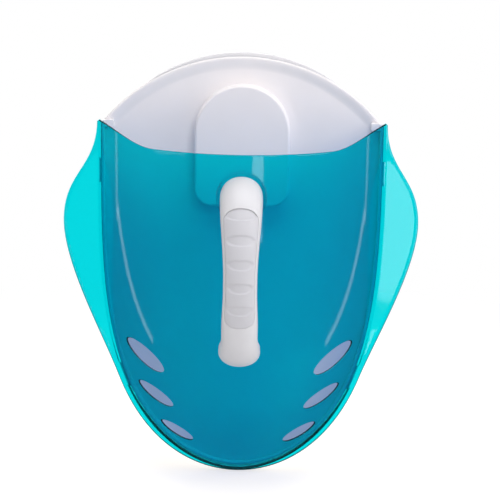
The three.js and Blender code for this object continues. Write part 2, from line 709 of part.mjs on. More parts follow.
// The soft grip on the front and the cover on the back, grown for the pocket that takes them.
function gripLayer(grow, outside) {
  return handleLayer({
    facing: Math.PI / 2,
    from: GRIP_TOP_MARGIN - grow,
    to: HANDLE_LENGTH - GRIP_FOOT_MARGIN + grow,
    outside,
    inside: -GRIP_THICKNESS - grow,
    halfAngle: borderAngle(GRIP_BORDER, grow),
    steps: INLAY_STEPS,
  });
}

function coverLayer(grow, outside) {
  return handleLayer({
    facing: -Math.PI / 2,
    from: COVER_MARGIN - grow,
    to: HANDLE_LENGTH - COVER_MARGIN + grow,
    outside,
    inside: -COVER_THICKNESS - grow,
    halfAngle: borderAngle(COVER_BORDER, grow),
    steps: INLAY_STEPS,
  });
}

// A finger recess: a lens that is flatter along its upper edge than along its lower one.
function gripRecess(number) {
  const from = RECESS_FIRST + number * RECESS_PITCH;
  const widest = borderAngle(RECESS_BORDER, 0);
  const lens = (along) => {
    const reach = along < RECESS_CROWN ? RECESS_CROWN : 1 - RECESS_CROWN;
    return Math.sqrt(Math.max(0, 1 - ((along - RECESS_CROWN) / reach) ** 2));
  };
  return handleLayer({
    facing: Math.PI / 2,
    from,
    to: from + RECESS_HEIGHT,
    outside: GRIP_THICKNESS,
    inside: -RECESS_DEPTH,
    halfAngle: (along, across) => widest(0.5, across) * lens(along),
    steps: RECESS_STEPS,
  });
}

function screwBore(seat) {
  const bore = SCREW_RADIUS + SCREW_CLEARANCE;
  const bottom = SCREW_SEAT_PLANE + SCREW_LENGTH + SCREW_CLEARANCE;
  return turnedAtFoot([[0, 0], [bore, 0], [bore, bottom - SCREW_POINT], [0, bottom]], seat);
}

function handleBodyGeometry() {
  const gripPocket = gripLayer(INLAY_CLEARANCE, GRIP_THICKNESS);
  const coverPocket = coverLayer(INLAY_CLEARANCE, COVER_THICKNESS);
  return shaped(handleVolume(), [], [gripPocket, coverPocket, ...FOOT_SEATS.map(screwBore)]);
}

function gripPadGeometry() {
  const recesses = Array.from({ length: RECESS_COUNT }, (_, number) => gripRecess(number));
  return shaped(gripLayer(0, 0), [], recesses);
}

function handleCoverGeometry() {
  return shaped(coverLayer(0, 0), []);
}

function screwGeometry(seat) {
  const underHead = SCREW_SEAT_PLANE - SEAT_GAP;
  const top = underHead - SCREW_HEAD_HEIGHT;
  const tip = underHead + SCREW_LENGTH;
  return shaped(turnedAtFoot([
    [0, top],
    [SCREW_HEAD_RADIUS - SCREW_HEAD_ROUND, top],
    [SCREW_HEAD_RADIUS, top + SCREW_HEAD_ROUND],
    [SCREW_HEAD_RADIUS, underHead],
    [SCREW_RADIUS, underHead],
    [SCREW_RADIUS, tip - SCREW_POINT],
    [0, tip],
  ], seat), []);
}

// Finishes

const tealPlastic = { color: 0x1bb8c8, roughness: 0.18, metalness: 0, transparent: true, opacity: 0.55 };
const whitePlastic = { color: 0xf1eef2, roughness: 0.42, metalness: 0 };
const softGrip = { color: 0xdedce2, roughness: 0.62, metalness: 0 };
const foamTape = { color: 0xe4e4e0, roughness: 0.9, metalness: 0 };
const zincSteel = { color: 0xb9bcc0, roughness: 0.35, metalness: 1 };

// Assembly

function piece(name, geometry, finish) {
  const mesh = new THREE.Mesh(geometry, new THREE.MeshStandardMaterial(finish));
  mesh.name = name;
  return mesh;
}

const bracket = new THREE.Group();
bracket.add(
  piece('wall_bracket', wallBracketGeometry(), whitePlastic),
  piece('adhesive_strip_upper', stripGeometry(STRIP_UPPER_HEIGHT), foamTape),
  piece('adhesive_strip_lower', stripGeometry(STRIP_LOWER_HEIGHT), foamTape),
);

const scoop = new THREE.Group();
scoop.position.y = -BACK_GAP;
scoop.add(
  piece('scoop_shell', scoopShellGeometry(), tealPlastic),
  piece('back_panel', backPanelGeometry(), whitePlastic),
  piece('handle_body', handleBodyGeometry(), whitePlastic),
  piece('handle_cover', handleCoverGeometry(), whitePlastic),
  piece('grip_pad', gripPadGeometry(), softGrip),
  piece('handle_screw_upper', screwGeometry(FOOT_SEATS[0]), zincSteel),
  piece('handle_screw_lower', screwGeometry(FOOT_SEATS[1]), zincSteel),
);

// The origin is the middle of the upper strip's face on the wall.
const organizer = new THREE.Group();
organizer.position.z = -STRIP_UPPER_HEIGHT;
organizer.add(bracket, scoop);

export default organizer;
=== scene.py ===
"""Looks of a wall-hung bath toy organizer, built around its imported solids.

A translucent scoop with a white back panel and a bow handle hangs on the hook of a bracket
that is stuck to the wall. Lengths are in metres. Heights inside the scoop are counted from
the tip of its pod, and depths from the plane of its open back.
"""

import logging
import math
from dataclasses import dataclass, field
from enum import Enum
from typing import Any, Callable, Sequence, Union

import bmesh
import bpy
import numpy as np
from mathutils import Matrix, Quaternion, Vector


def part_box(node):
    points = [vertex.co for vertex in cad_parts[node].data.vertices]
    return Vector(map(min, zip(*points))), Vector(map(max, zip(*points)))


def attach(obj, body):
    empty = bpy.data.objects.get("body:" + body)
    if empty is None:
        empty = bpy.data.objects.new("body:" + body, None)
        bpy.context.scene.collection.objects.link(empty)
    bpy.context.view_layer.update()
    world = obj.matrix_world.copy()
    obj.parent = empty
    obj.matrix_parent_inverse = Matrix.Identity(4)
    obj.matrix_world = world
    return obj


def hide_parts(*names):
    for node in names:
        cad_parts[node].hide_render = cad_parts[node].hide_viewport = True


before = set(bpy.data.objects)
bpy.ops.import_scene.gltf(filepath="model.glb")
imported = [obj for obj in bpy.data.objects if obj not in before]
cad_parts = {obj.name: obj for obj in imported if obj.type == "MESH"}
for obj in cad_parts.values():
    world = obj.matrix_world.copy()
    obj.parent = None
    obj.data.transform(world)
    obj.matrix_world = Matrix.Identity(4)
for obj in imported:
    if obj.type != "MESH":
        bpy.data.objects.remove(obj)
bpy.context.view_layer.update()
LOG = logging.getLogger("organizer")

WELD = 1e-6
SMOOTH_ANGLE = math.radians(32)
SHARPEST_CORNER = 1.1
UP = np.array([0.0, 0.0, 1.0])
PLACES = ("upper", "lower")
SIDES = (-1, 1)
Colour = tuple[float, float, float, float]
PURE_WHITE: Colour = (1, 1, 1, 1)

POD_ROWS = 96
POD_COLUMNS = 168
RIM_STEPS = 8
CURVE_STEPS = 64
ROUND_STEPS = 4
DRAIN_STEPS = 72
TURN_STEPS = 64
LINE_STEPS = 1280
HANDLE_STEPS = 140
HANDLE_SIDES = 72
THREAD_STEPS = 150
HEAD_STEPS = 10
INLAY_STEPS = 220
INLAY_SIDES = 40


class Body(Enum):
    """Bodies that the pieces ride on."""

    BRACKET = "bracket"
    SCOOP = "scoop"


class Slot(Enum):
    """Material slots of the record."""

    TEAL = "teal_plastic"
    WHITE = "white_plastic"
    HANDLE = "handle_white"
    GRIP = "soft_grip"
    FOAM = "foam_tape"
    STEEL = "screw_steel"


class Carve(Enum):
    """Ways to work one solid with another."""

    JOIN = "UNION"
    CUT = "DIFFERENCE"


class Facing(Enum):
    """Side of the handle that an inlay lies on, as an angle round its section."""

    FRONT = math.pi / 2
    FINGERS = -math.pi / 2


# Forms shared by the pieces


def smoothstep(value: np.ndarray, low: float, high: float) -> np.ndarray:
    """Rises smoothly from 0 to 1 between two values.

    Args:
        value: Numbers to judge.
        low: Value up to which the result is 0.
        high: Value from which the result is 1.

    Returns:
        The rise at each number.
    """
    share = np.clip((value - low) / (high - low), 0, 1)
    return share * share * (3 - 2 * share)


def signed_power(value: np.ndarray, power: float) -> np.ndarray:
    """Raises the size of a number to a power and keeps its sign."""
    return np.sign(value) * np.abs(value) ** power


def row_shares(rows: int) -> np.ndarray:
    """Shares of a height, closest together at its low end."""
    return 1 - np.cos(np.linspace(0, math.pi / 2, rows + 1))


def columns(*values: Union[np.ndarray, float]) -> np.ndarray:
    """Points from their coordinates, each an array or one number for all of them."""
    return np.stack(np.broadcast_arrays(*values), axis=-1)


def arc(centre: tuple[float, float], radius: float, start: float, end: float,
        steps: int) -> np.ndarray:
    """Points of a circular arc.

    Args:
        centre: Middle of the circle.
        radius: Its radius.
        start: First angle in radians.
        end: Last angle in radians.
        steps: Number of chords.

    Returns:
        Points as (steps + 1, 2).
    """
    angle = np.linspace(start, end, steps + 1)
    return columns(centre[0] + radius * np.cos(angle), centre[1] + radius * np.sin(angle))


def bezier(points: Sequence[np.ndarray], steps: int) -> np.ndarray:
    """Points of a cubic curve.

    Args:
        points: Start, two pulls and end.
        steps: Number of chords.

    Returns:
        Points as (steps + 1, size of a point).
    """
    share = np.linspace(0, 1, steps + 1)[:, None]
    start, leave, arrive, end = (np.asarray(point, float) for point in points)
    rest = 1 - share
    return (start * rest**3 + 3 * leave * share * rest**2
            + 3 * arrive * share**2 * rest + end * share**3)


def rounded_rectangle(centre: tuple[float, float], width: float, tall: float,
                      corner: float) -> np.ndarray:
    """Outline of a rectangle with round corners, counterclockwise.

    Args:
        centre: Middle of the rectangle.
        width: Full width.
        tall: Full height.
        corner: Radius of the corners.

    Returns:
        Points as (count, 2).
    """
    across, along = width / 2 - corner, tall / 2 - corner
    places = [(across, along), (-across, along), (-across, -along), (across, -along)]
    quarter = math.pi / 2
    return np.concatenate([
        arc((centre[0] + x, centre[1] + z), corner, turn * quarter, (turn + 1) * quarter,
            ROUND_STEPS)
        for turn, (x, z) in enumerate(places)
    ])


def round_foot(half: float, bottom: float, corner: float) -> np.ndarray:
    """Lower edge of an outline, from its left side round both corners to its right side.

    Args:
        half: Half width.
        bottom: Height of the edge.
        corner: Radius of the corners.

    Returns:
        Points (x, height).
    """
    low, quarter = bottom + corner, math.pi / 2
    return np.concatenate([
        arc((corner - half, low), corner, math.pi, 3 * quarter, 2 * ROUND_STEPS),
        arc((half - corner, low), corner, 3 * quarter, 4 * quarter, 2 * ROUND_STEPS),
    ])


def outward(outline: np.ndarray) -> np.ndarray:
    """Outward directions of a counterclockwise outline, longer at its corners.

    Args:
        outline: Closed outline as (count, 2).

    Returns:
        A step for each point that moves both its edges out by one.
    """
    ahead = np.roll(outline, -1, axis=0) - outline
    ahead /= np.maximum(np.linalg.norm(ahead, axis=1, keepdims=True), WELD)
    both = ahead + np.roll(ahead, 1, axis=0)
    normal = columns(both[:, 1], -both[:, 0])
    length = np.linalg.norm(normal, axis=1, keepdims=True)
    return 2 * normal / np.maximum(length, SHARPEST_CORNER) ** 2


def band(path: np.ndarray, width: float) -> np.ndarray:
    """Closed outline between an open path and the same path moved to its left.

    Args:
        path: Points as (count, 2).
        width: How far the second edge lies from the first.

    Returns:
        Outline as (2 * count, 2).
    """
    along = np.gradient(path, axis=0)
    along /= np.linalg.norm(along, axis=1, keepdims=True)
    moved = path + width * columns(-along[:, 1], along[:, 0])
    return np.concatenate([path, moved[::-1]])


def mirrored(half: np.ndarray) -> np.ndarray:
    """A path from its mirror image's far end, through the middle plane, to its own far end."""
    return np.concatenate([half[:0:-1] * (-1, 1), half])


def upright(outline: np.ndarray, depth: Union[np.ndarray, float]) -> np.ndarray:
    """Points of an upright outline (x, height) at one depth, or each at its own."""
    return columns(outline[:, 0], -depth, outline[:, 1])


def crosswise(outline: np.ndarray, across: float) -> np.ndarray:
    """Points of a side view (depth, height) at a place across the middle plane."""
    return columns(across, -outline[:, 0], outline[:, 1])


def lying(outline: np.ndarray, height: float) -> np.ndarray:
    """Points of a level outline (x, y) at a height."""
    return columns(outline[:, 0], outline[:, 1], height)


class Draft:
    """Points and faces of one closed skin, gathered sheet by sheet."""

    def __init__(self) -> None:
        """Starts with nothing drawn."""
        self.points: list[np.ndarray] = []
        self.faces: list[list[int]] = []
        self.count = 0

    def _add(self, points: np.ndarray) -> int:
        """Keeps points and gives the number of the first."""
        first = self.count
        self.points.append(points.reshape(-1, 3))
        self.count += len(self.points[-1])
        return first

    def sheet(self, grid: np.ndarray, closed: bool = False) -> None:
        """Adds a grid of four-sided faces.

        Args:
            grid: Points as (rows, columns, 3).
            closed: Whether the last column joins on to the first.
        """
        rows, columns, _ = grid.shape
        first = self._add(grid)
        for row in range(rows - 1):
            for column in range(columns if closed else columns - 1):
                left = first + row * columns + column
                right = first + row * columns + (column + 1) % columns
                self.faces.append([left, right, right + columns, left + columns])

    def cap(self, ring: np.ndarray) -> None:
        """Adds one face round a ring of points."""
        first = self._add(ring)
        self.faces.append(list(range(first, first + len(ring))))

    @classmethod
    def tube(cls, rings: Sequence[np.ndarray]) -> "Draft":
        """A closed tube through rings of points.

        Args:
            rings: Rings with the same number of points each.

        Returns:
            A draft with both its ends capped.
        """
        draft, grid = cls(), np.stack(rings)
        draft.sheet(grid, closed=True)
        draft.cap(grid[0])
        draft.cap(grid[-1])
        return draft

    def solid(self, name: str, offset: Vector) -> bpy.types.Object:
        """Welds what was drawn into one closed object.

        Args:
            name: Name of the object.
            offset: Where the drawing's origin lies in the frame.

        Returns:
            The object, in place.
        """
        mesh = bpy.data.meshes.new(name)
        points = np.concatenate(self.points) + np.array(offset)
        mesh.from_pydata(points.tolist(), [], self.faces)
        work = bmesh.new()
        work.from_mesh(mesh)
        bmesh.ops.remove_doubles(work, verts=work.verts, dist=WELD)
        bmesh.ops.dissolve_degenerate(work, dist=WELD, edges=work.edges)
        bmesh.ops.recalc_face_normals(work, faces=work.faces)
        work.to_mesh(mesh)
        work.free()
        made = bpy.data.objects.new(name, mesh)
        bpy.context.scene.collection.objects.link(made)
        return made


def tower(outline: np.ndarray, profile: Sequence[tuple[float, float]],
          lay: Callable[[np.ndarray, float], np.ndarray] = upright) -> Draft:
    """Stacks an outline in levels, each moved out or in.

    Args:
        outline: Counterclockwise outline as (count, 2).
        profile: Distance moved out, and level, from one end to the other.
        lay: Turns an outline at a level into points.

    Returns:
        A draft closed at both ends.
    """
    step = outward(outline)
    return Draft.tube([lay(outline + out * step, level) for out, level in profile])


def rounding(low: float, high: float, round_low: float,
             round_high: float) -> list[tuple[float, float]]:
    """Profile of a slab with round edges.

    Args:
        low: Level of its first face.
        high: Level of its last face.
        round_low: Radius of the first edge.
        round_high: Radius of the last edge.

    Returns:
        Distances moved out, and levels.
    """
    way = math.copysign(1, high - low)
    turns = [math.pi / 2 * step / ROUND_STEPS for step in range(ROUND_STEPS + 1)]
    start = [(round_low * (math.sin(turn) - 1), low + way * round_low * (1 - math.cos(turn)))
             for turn in turns]
    end = [(round_high * (math.cos(turn) - 1), high - way * round_high * (1 - math.sin(turn)))
           for turn in turns]
    return start + end


def carve(piece: bpy.types.Object, tools: Sequence[tuple[Carve, bpy.types.Object]]) -> None:
    """Joins tools to a piece or cuts them from it, in order, and uses them up.

    Args:
        piece: Object that is worked.
        tools: How each tool works, and the tool.
    """
    for way, tool in tools:
        modifier = piece.modifiers.new(tool.name, "BOOLEAN")
        modifier.operation = way.value
        modifier.solver = "MANIFOLD"
        modifier.object = tool
    ready = piece.evaluated_get(bpy.context.evaluated_depsgraph_get())
    worked = bpy.data.meshes.new_from_object(ready)
    piece.modifiers.clear()
    spent = [piece.data]
    piece.data = worked
    for _, tool in tools:
        spent.append(tool.data)
        bpy.data.objects.remove(tool)
    for mesh in spent:
        bpy.data.meshes.remove(mesh)


def standing(foot: Vector, axis: Vector) -> Matrix:
    """Turn and move that stands an upright piece on a foot, along an axis."""
    return Matrix.Translation(foot) @ axis.to_track_quat("Z", "Y").to_matrix().to_4x4()


def revolve(name: str, profile: Sequence[tuple[float, float]], foot: Vector,
            axis: Vector) -> bpy.types.Object:
    """Turns a profile about an axis.

    Args:
        name: Name of the object.
        profile: Radius, and distance along the axis, from end to end on the axis.
        foot: Where distances along the axis start.
        axis: Direction of the axis.

    Returns:
        The turned solid.
    """
    turn = np.linspace(0, 2 * math.pi, TURN_STEPS, endpoint=False)
    circle = columns(np.cos(turn), np.sin(turn))
    draft = Draft()
    draft.sheet(np.array([lying(radius * circle, along) for radius, along in profile]), closed=True)
    made = draft.solid(name, Vector())
    made.data.transform(standing(foot, axis))
    return made


# Shader expressions

Feed = Union["Signal", float, Sequence[float]]


class Signal:
    """An output socket that takes part in Python arithmetic."""

    def __init__(self, board: "NodeBoard", socket: bpy.types.NodeSocket) -> None:
        """Wraps a socket of a board."""
        self.board = board
        self.socket = socket

    def __add__(self, other: Feed) -> "Signal":
        """Sum of two values."""
        return self.board.math("ADD", self, other)

    def __mul__(self, other: Feed) -> "Signal":
        """Product of two values."""
        return self.board.math("MULTIPLY", self, other)

    def __rsub__(self, other: Feed) -> "Signal":
        """Difference from a number."""
        return self.board.math("SUBTRACT", other, self)

    __radd__ = __add__
    __rmul__ = __mul__

    def larger(self, other: Feed) -> "Signal":
        """The larger of two values."""
        return self.board.math("MAXIMUM", self, other)

    def smaller(self, other: Feed) -> "Signal":
        """The smaller of two values."""
        return self.board.math("MINIMUM", self, other)

    def between(self, low: float, high: float) -> "Signal":
        """Rises smoothly from 0 to 1 between two values."""
        reach = {"Value": self, "From Min": low, "From Max": high}
        return self.board.node("ShaderNodeMapRange", reach, interpolation_type="SMOOTHSTEP")


@dataclass(frozen=True)
class Mottle:
    """A soft noise: swells to the metre, and how finely they break up."""

    scale: float
    detail: float


class NodeBoard:
    """The node tree of a material or of the world."""

    COLOUR_INPUTS = (6, 7)
    COLOUR_OUTPUT = 2

    def __init__(self, owner: Any) -> None:
        """Empties the owner's tree.

        Args:
            owner: Material or world.
        """
        owner.use_nodes = True
        self.tree = owner.node_tree
        self.tree.nodes.clear()

    def node(self, kind: str, inputs: dict[Union[str, int], Feed], output: Union[str, int] = 0,
             **settings: Any) -> Signal:
        """Adds a node.

        Args:
            kind: Type of the node.
            inputs: Values or links of its sockets.
            output: Socket that is handed back.
            settings: Its own settings, which are set first.

        Returns:
            The chosen output, or the first input where the node has none.
        """
        made = self.tree.nodes.new(kind)
        for name, value in settings.items():
            setattr(made, name, value)
        for name, value in inputs.items():
            if isinstance(value, Signal):
                self.tree.links.new(value.socket, made.inputs[name])
            else:
                made.inputs[name].default_value = value
        return Signal(self, made.outputs[output] if made.outputs else made.inputs[0])

    def math(self, operation: str, first: Feed, second: Feed) -> Signal:
        """Adds one step of arithmetic."""
        return self.node("ShaderNodeMath", {0: first, 1: second}, operation=operation)

    def blend(self, share: Feed, first: Feed, second: Feed) -> Signal:
        """Mixes two colours."""
        feeds = {0: share, **dict(zip(self.COLOUR_INPUTS, (first, second)))}
        return self.node("ShaderNodeMix", feeds, output=self.COLOUR_OUTPUT, data_type="RGBA")

    def mix(self, share: Feed, first: Signal, second: Signal) -> Signal:
        """Mixes two surfaces."""
        return self.node("ShaderNodeMixShader", {0: share, 1: first, 2: second})

    def place(self) -> Signal:
        """Place on the object."""
        return self.node("ShaderNodeTexCoord", {}, output="Object")

    def noise(self, mottle: Mottle, place: Signal) -> Signal:
        """Soft mottling of a piece."""
        feeds = {"Vector": place, "Scale": mottle.scale, "Detail": mottle.detail}
        return self.node("ShaderNodeTexNoise", feeds)

    def bump(self, height: Signal, strength: float, distance: float) -> Signal:
        """Relief of a given depth."""
        feeds = {"Height": height, "Strength": strength, "Distance": distance}
        return self.node("ShaderNodeBump", feeds)

    def light_path(self, output: str) -> Signal:
        """What kind of ray is looking."""
        return self.node("ShaderNodeLightPath", {}, output=output)

    def seen(self) -> Signal:
        """1 for rays that show the background straight or through the plastic."""
        direct = 1 - self.light_path("Diffuse Depth").between(0, 1)
        through = self.light_path("Is Transmission Ray") * direct
        return self.light_path("Is Camera Ray").larger(through)


# Finishes


@dataclass(frozen=True)
class Finish:
    """A finish that paints one material."""

    name: str
    slot: Slot

    def paint(self, board: NodeBoard) -> Signal:
        """Draws the shader.

        Args:
            board: Node tree to draw on.

        Returns:
            The surface.
        """
        raise NotImplementedError

    def fill(self, board: NodeBoard) -> Union[Signal, None]:
        """The inside of the material, or nothing."""
        return None

    def material(self) -> bpy.types.Material:
        """The material, painted at its first use."""
        made = bpy.data.materials.get(self.name)
        if made is None:
            made = bpy.data.materials.new(self.name)
            board = NodeBoard(made)
            outputs = {"Surface": self.paint(board)}
            inside = self.fill(board)
            if inside:
                outputs["Volume"] = inside
            board.node("ShaderNodeOutputMaterial", outputs)
        return made


@dataclass(frozen=True)
class ClearTeal(Finish):
    """Tinted, see-through polypropylene with a polished skin."""

    tint: Colour = (0.004, 0.95, 0.97, 1)
    deep_tint: Colour = (0.002, 0.94, 0.965, 1)
    lamp_tint: Colour = (0.43, 0.55, 0.75, 1)
    inside_tint: Colour = (0.0, 0.885, 0.91, 1)
    inside_density: float = 500.0
    refraction: float = 1.14
    clearness: float = 0.88
    clear_tint: Colour = (0.05, 0.907, 0.931, 1)
    clear_share: float = 0.92
    gloss_tint: Colour = (0.9, 0.95, 1.0, 1)
    gloss_refraction: float = 1.45
    gloss_most: float = 0.06
    flow: Mottle = Mottle(9, 3)
    flow_reach: tuple[float, float] = (0.35, 0.65)
    flow_relief: float = 4.0
    peel: Mottle = Mottle(210, 2)
    haze: Mottle = Mottle(46, 4)
    relief: float = 0.05
    relief_depth: float = 0.0004
    rough: float = 0.04
    rough_spread: float = 0.05

    def paint(self, board: NodeBoard) -> Signal:
        """Polished skin with faint moulding swells.

        Args:
            board: Node tree to draw on.

        Returns:
            The surface.
        """
        place = board.place()
        flow, peel, haze = (board.noise(mottle, place)
                            for mottle in (self.flow, self.peel, self.haze))
        relief = peel + flow * self.flow_relief
        surface = {
            "Roughness": self.rough + haze * self.rough_spread,
            "Normal": board.bump(relief, self.relief, self.relief_depth),
        }
        skin = board.node("ShaderNodeBsdfPrincipled", {
            "Base Color": board.blend(flow.between(*self.flow_reach), self.tint, self.deep_tint),
            "IOR": self.refraction,
            "Transmission Weight": self.clearness,
            **surface,
        })
        clear = board.node("ShaderNodeBsdfRefraction",
                           {"Color": self.clear_tint, "IOR": self.refraction, **surface})
        gloss = board.node("ShaderNodeBsdfGlossy", {"Color": self.gloss_tint, **surface})
        rise = board.node("ShaderNodeFresnel", {"IOR": self.gloss_refraction})
        wall = board.mix(self.clear_share, skin, clear)
        polished = board.mix(rise.smaller(self.gloss_most), wall, gloss)
        through = board.node("ShaderNodeBsdfTransparent", {"Color": self.lamp_tint})
        return board.mix(self.passing(board), polished, through)

    def fill(self, board: NodeBoard) -> Signal:
        """Colour that deepens with the length of plastic looked through."""
        deep = board.node("ShaderNodeVolumeAbsorption",
                          {"Color": self.inside_tint, "Density": self.inside_density})
        return board.node("ShaderNodeMixShader", {0: self.passing(board), 1: deep})

    @staticmethod
    def passing(board: NodeBoard) -> Signal:
        """One for light on its way to what stands behind the wall."""
        return board.light_path("Is Shadow Ray").larger(board.light_path("Is Diffuse Ray"))


@dataclass(frozen=True)
class MouldedPlastic(Finish):
    """Opaque moulded plastic with a fine grain."""

    light: Colour = (0.90, 0.86, 0.875, 1)
    shade: Colour = (0.87, 0.83, 0.845, 1)
    rough: float = 0.38
    rough_drop: float = 0.04
    rough_spread: float = 0.1
    specular: float = 0.45
    cloud: Mottle = Mottle(14, 4)
    cloud_reach: tuple[float, float] = (0.3, 0.7)
    cloud_relief: float = 0.5
    grain: Mottle = Mottle(1900, 2)
    scuff: Mottle = Mottle(90, 5)
    relief: float = 0.06
    relief_depth: float = 0.0003
    # Painted shade for closed-in places: its colour, reach, fade and samples
    painted_shade: Colour = (0.08, 0.14, 0.24, 1)
    painted_shade_reach: float = 0.0
    painted_shade_fade: tuple[float, float] = (0.1, 0.5)
    painted_shade_samples: int = 6

    def paint(self, board: NodeBoard) -> Signal:
        """Fine grain over soft mottling, with painted shade where another piece closes it in.

        Args:
            board: Node tree to draw on.

        Returns:
            The surface.
        """
        place = board.place()
        cloud, grain, scuff = (board.noise(mottle, place)
                               for mottle in (self.cloud, self.grain, self.scuff))
        colour = board.blend(cloud.between(*self.cloud_reach), self.light, self.shade)
        # Painted shade: where ambient occlusion finds another piece close by, the colour goes to a
        # dark blue-teal
        if self.painted_shade_reach:
            free = board.node("ShaderNodeAmbientOcclusion", {"Distance": self.painted_shade_reach},
                              output="AO", samples=self.painted_shade_samples)
            colour = board.blend(free.between(*self.painted_shade_fade), self.painted_shade, colour)
        relief = grain + cloud * self.cloud_relief
        return board.node("ShaderNodeBsdfPrincipled", {
            "Base Color": colour,
            "Roughness": self.rough - self.rough_drop + scuff * self.rough_spread,
            "Specular IOR Level": self.specular,
            "Normal": board.bump(relief, self.relief, self.relief_depth),
        })


@dataclass(frozen=True)
class FoamTape(Finish):
    """Closed-cell foam tape with an adhesive face."""

    light: Colour = (0.80, 0.80, 0.78, 1)
    # Colour of the painted shade in the cells' hollows
    pit_shade: Colour = (0.66, 0.66, 0.64, 1)
    cells: float = 1400.0
    cell_reach: tuple[float, float] = (0.15, 0.6)
    cloud: Mottle = Mottle(120, 3)
    cloud_least: float = 0.6
    cloud_spread: float = 0.6
    rough: float = 0.78
    rough_spread: float = 0.15
    relief: float = 0.35
    relief_depth: float = 0.0003

    def paint(self, board: NodeBoard) -> Signal:
        """Small open cells, with painted shade in their hollows.

        Args:
            board: Node tree to draw on.

        Returns:
            The surface.
        """
        place = board.place()
        cell = board.node("ShaderNodeTexVoronoi", {"Vector": place, "Scale": self.cells})
        cloud = board.noise(self.cloud, place)
        # Painted shade: darker in the cells' hollows, broken up by soft mottling
        full = cell.between(*self.cell_reach) * (self.cloud_least + cloud * self.cloud_spread)
        return board.node("ShaderNodeBsdfPrincipled", {
            "Base Color": board.blend(full, self.pit_shade, self.light),
            "Roughness": self.rough + cloud * self.rough_spread,
            "Normal": board.bump(cell, self.relief, self.relief_depth),
        })


@dataclass(frozen=True)
class ZincSteel(Finish):
    """Zinc-plated screw steel."""

    light: Colour = (0.72, 0.73, 0.75, 1)
    dull: Colour = (0.56, 0.57, 0.60, 1)
    bloom: Mottle = Mottle(700, 4)
    bloom_reach: tuple[float, float] = (0.3, 0.7)
    brush: Mottle = Mottle(3000, 2)
    rough: float = 0.22
    rough_spread: float = 0.2
    relief: float = 0.05
    relief_depth: float = 0.0002

    def paint(self, board: NodeBoard) -> Signal:
        """Plating with a cloudy bloom.

        Args:
            board: Node tree to draw on.

        Returns:
            The surface.
        """
        place = board.place()
        bloom, brush = (board.noise(mottle, place) for mottle in (self.bloom, self.brush))
        return board.node("ShaderNodeBsdfPrincipled", {
            "Base Color": board.blend(bloom.between(*self.bloom_reach), self.light, self.dull),
            "Metallic": 1.0,
            "Roughness": self.rough + bloom * self.rough_spread,
            "Normal": board.bump(brush, self.relief, self.relief_depth),
        })


TEAL = ClearTeal("clear_teal", Slot.TEAL)
# The panel's white carries painted shade where other pieces close it in
WHITE = MouldedPlastic("moulded_white", Slot.WHITE, painted_shade_reach=0.004)
# Painted shade: a darker copy of the panel's white plastic, for the bracket that stands behind the
# panel
SHADED_BRACKET_WHITE = MouldedPlastic(
    "bracket_white_painted_shade", Slot.WHITE, light=(0.80, 0.79, 0.82, 1), shade=(0.77, 0.76, 0.79, 1))
HANDLE_WHITE = MouldedPlastic(
    "handle_white_satin", Slot.HANDLE, light=(0.715, 0.71, 0.745, 1), shade=(0.69, 0.685, 0.72, 1),
    rough=0.34, grain=Mottle(2600, 2))
SOFT = MouldedPlastic(
    "soft_grip_matt", Slot.GRIP, light=(0.615, 0.61, 0.655, 1), shade=(0.59, 0.585, 0.63, 1),
    rough=0.58, grain=Mottle(3200, 2), relief=0.16)
FOAM = FoamTape("foam_tape_white", Slot.FOAM)
STEEL = ZincSteel("zinc_steel", Slot.STEEL)


def dress(piece: bpy.types.Object, finish: Finish, body: Body, *nodes: str) -> None:
    """Smooths and paints a piece and puts it in place of solids of a body.

    Args:
        piece: Finished object.
        finish: Its finish.
        body: Body that it rides on.
        nodes: Solids that it stands for.
    """
    piece.data.shade_smooth()
    piece.data.set_sharp_from_angle(angle=SMOOTH_ANGLE)
    weighted = piece.modifiers.new("even_shading", "WEIGHTED_NORMAL")
    weighted.keep_sharp = True
    piece.data.materials.clear()
    piece.data.materials.append(finish.material())
    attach(piece, body.value)
    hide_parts(*nodes)
    LOG.info("%s: %d faces, for %s", piece.name, len(piece.data.polygons), ", ".join(nodes))


# The scoop's shell


@dataclass(frozen=True)
class Seat:
    """Place and outward direction of a handle foot on the pod's skin, and its pad."""

    skin: Vector
    outward: Vector
    pad_radius: float


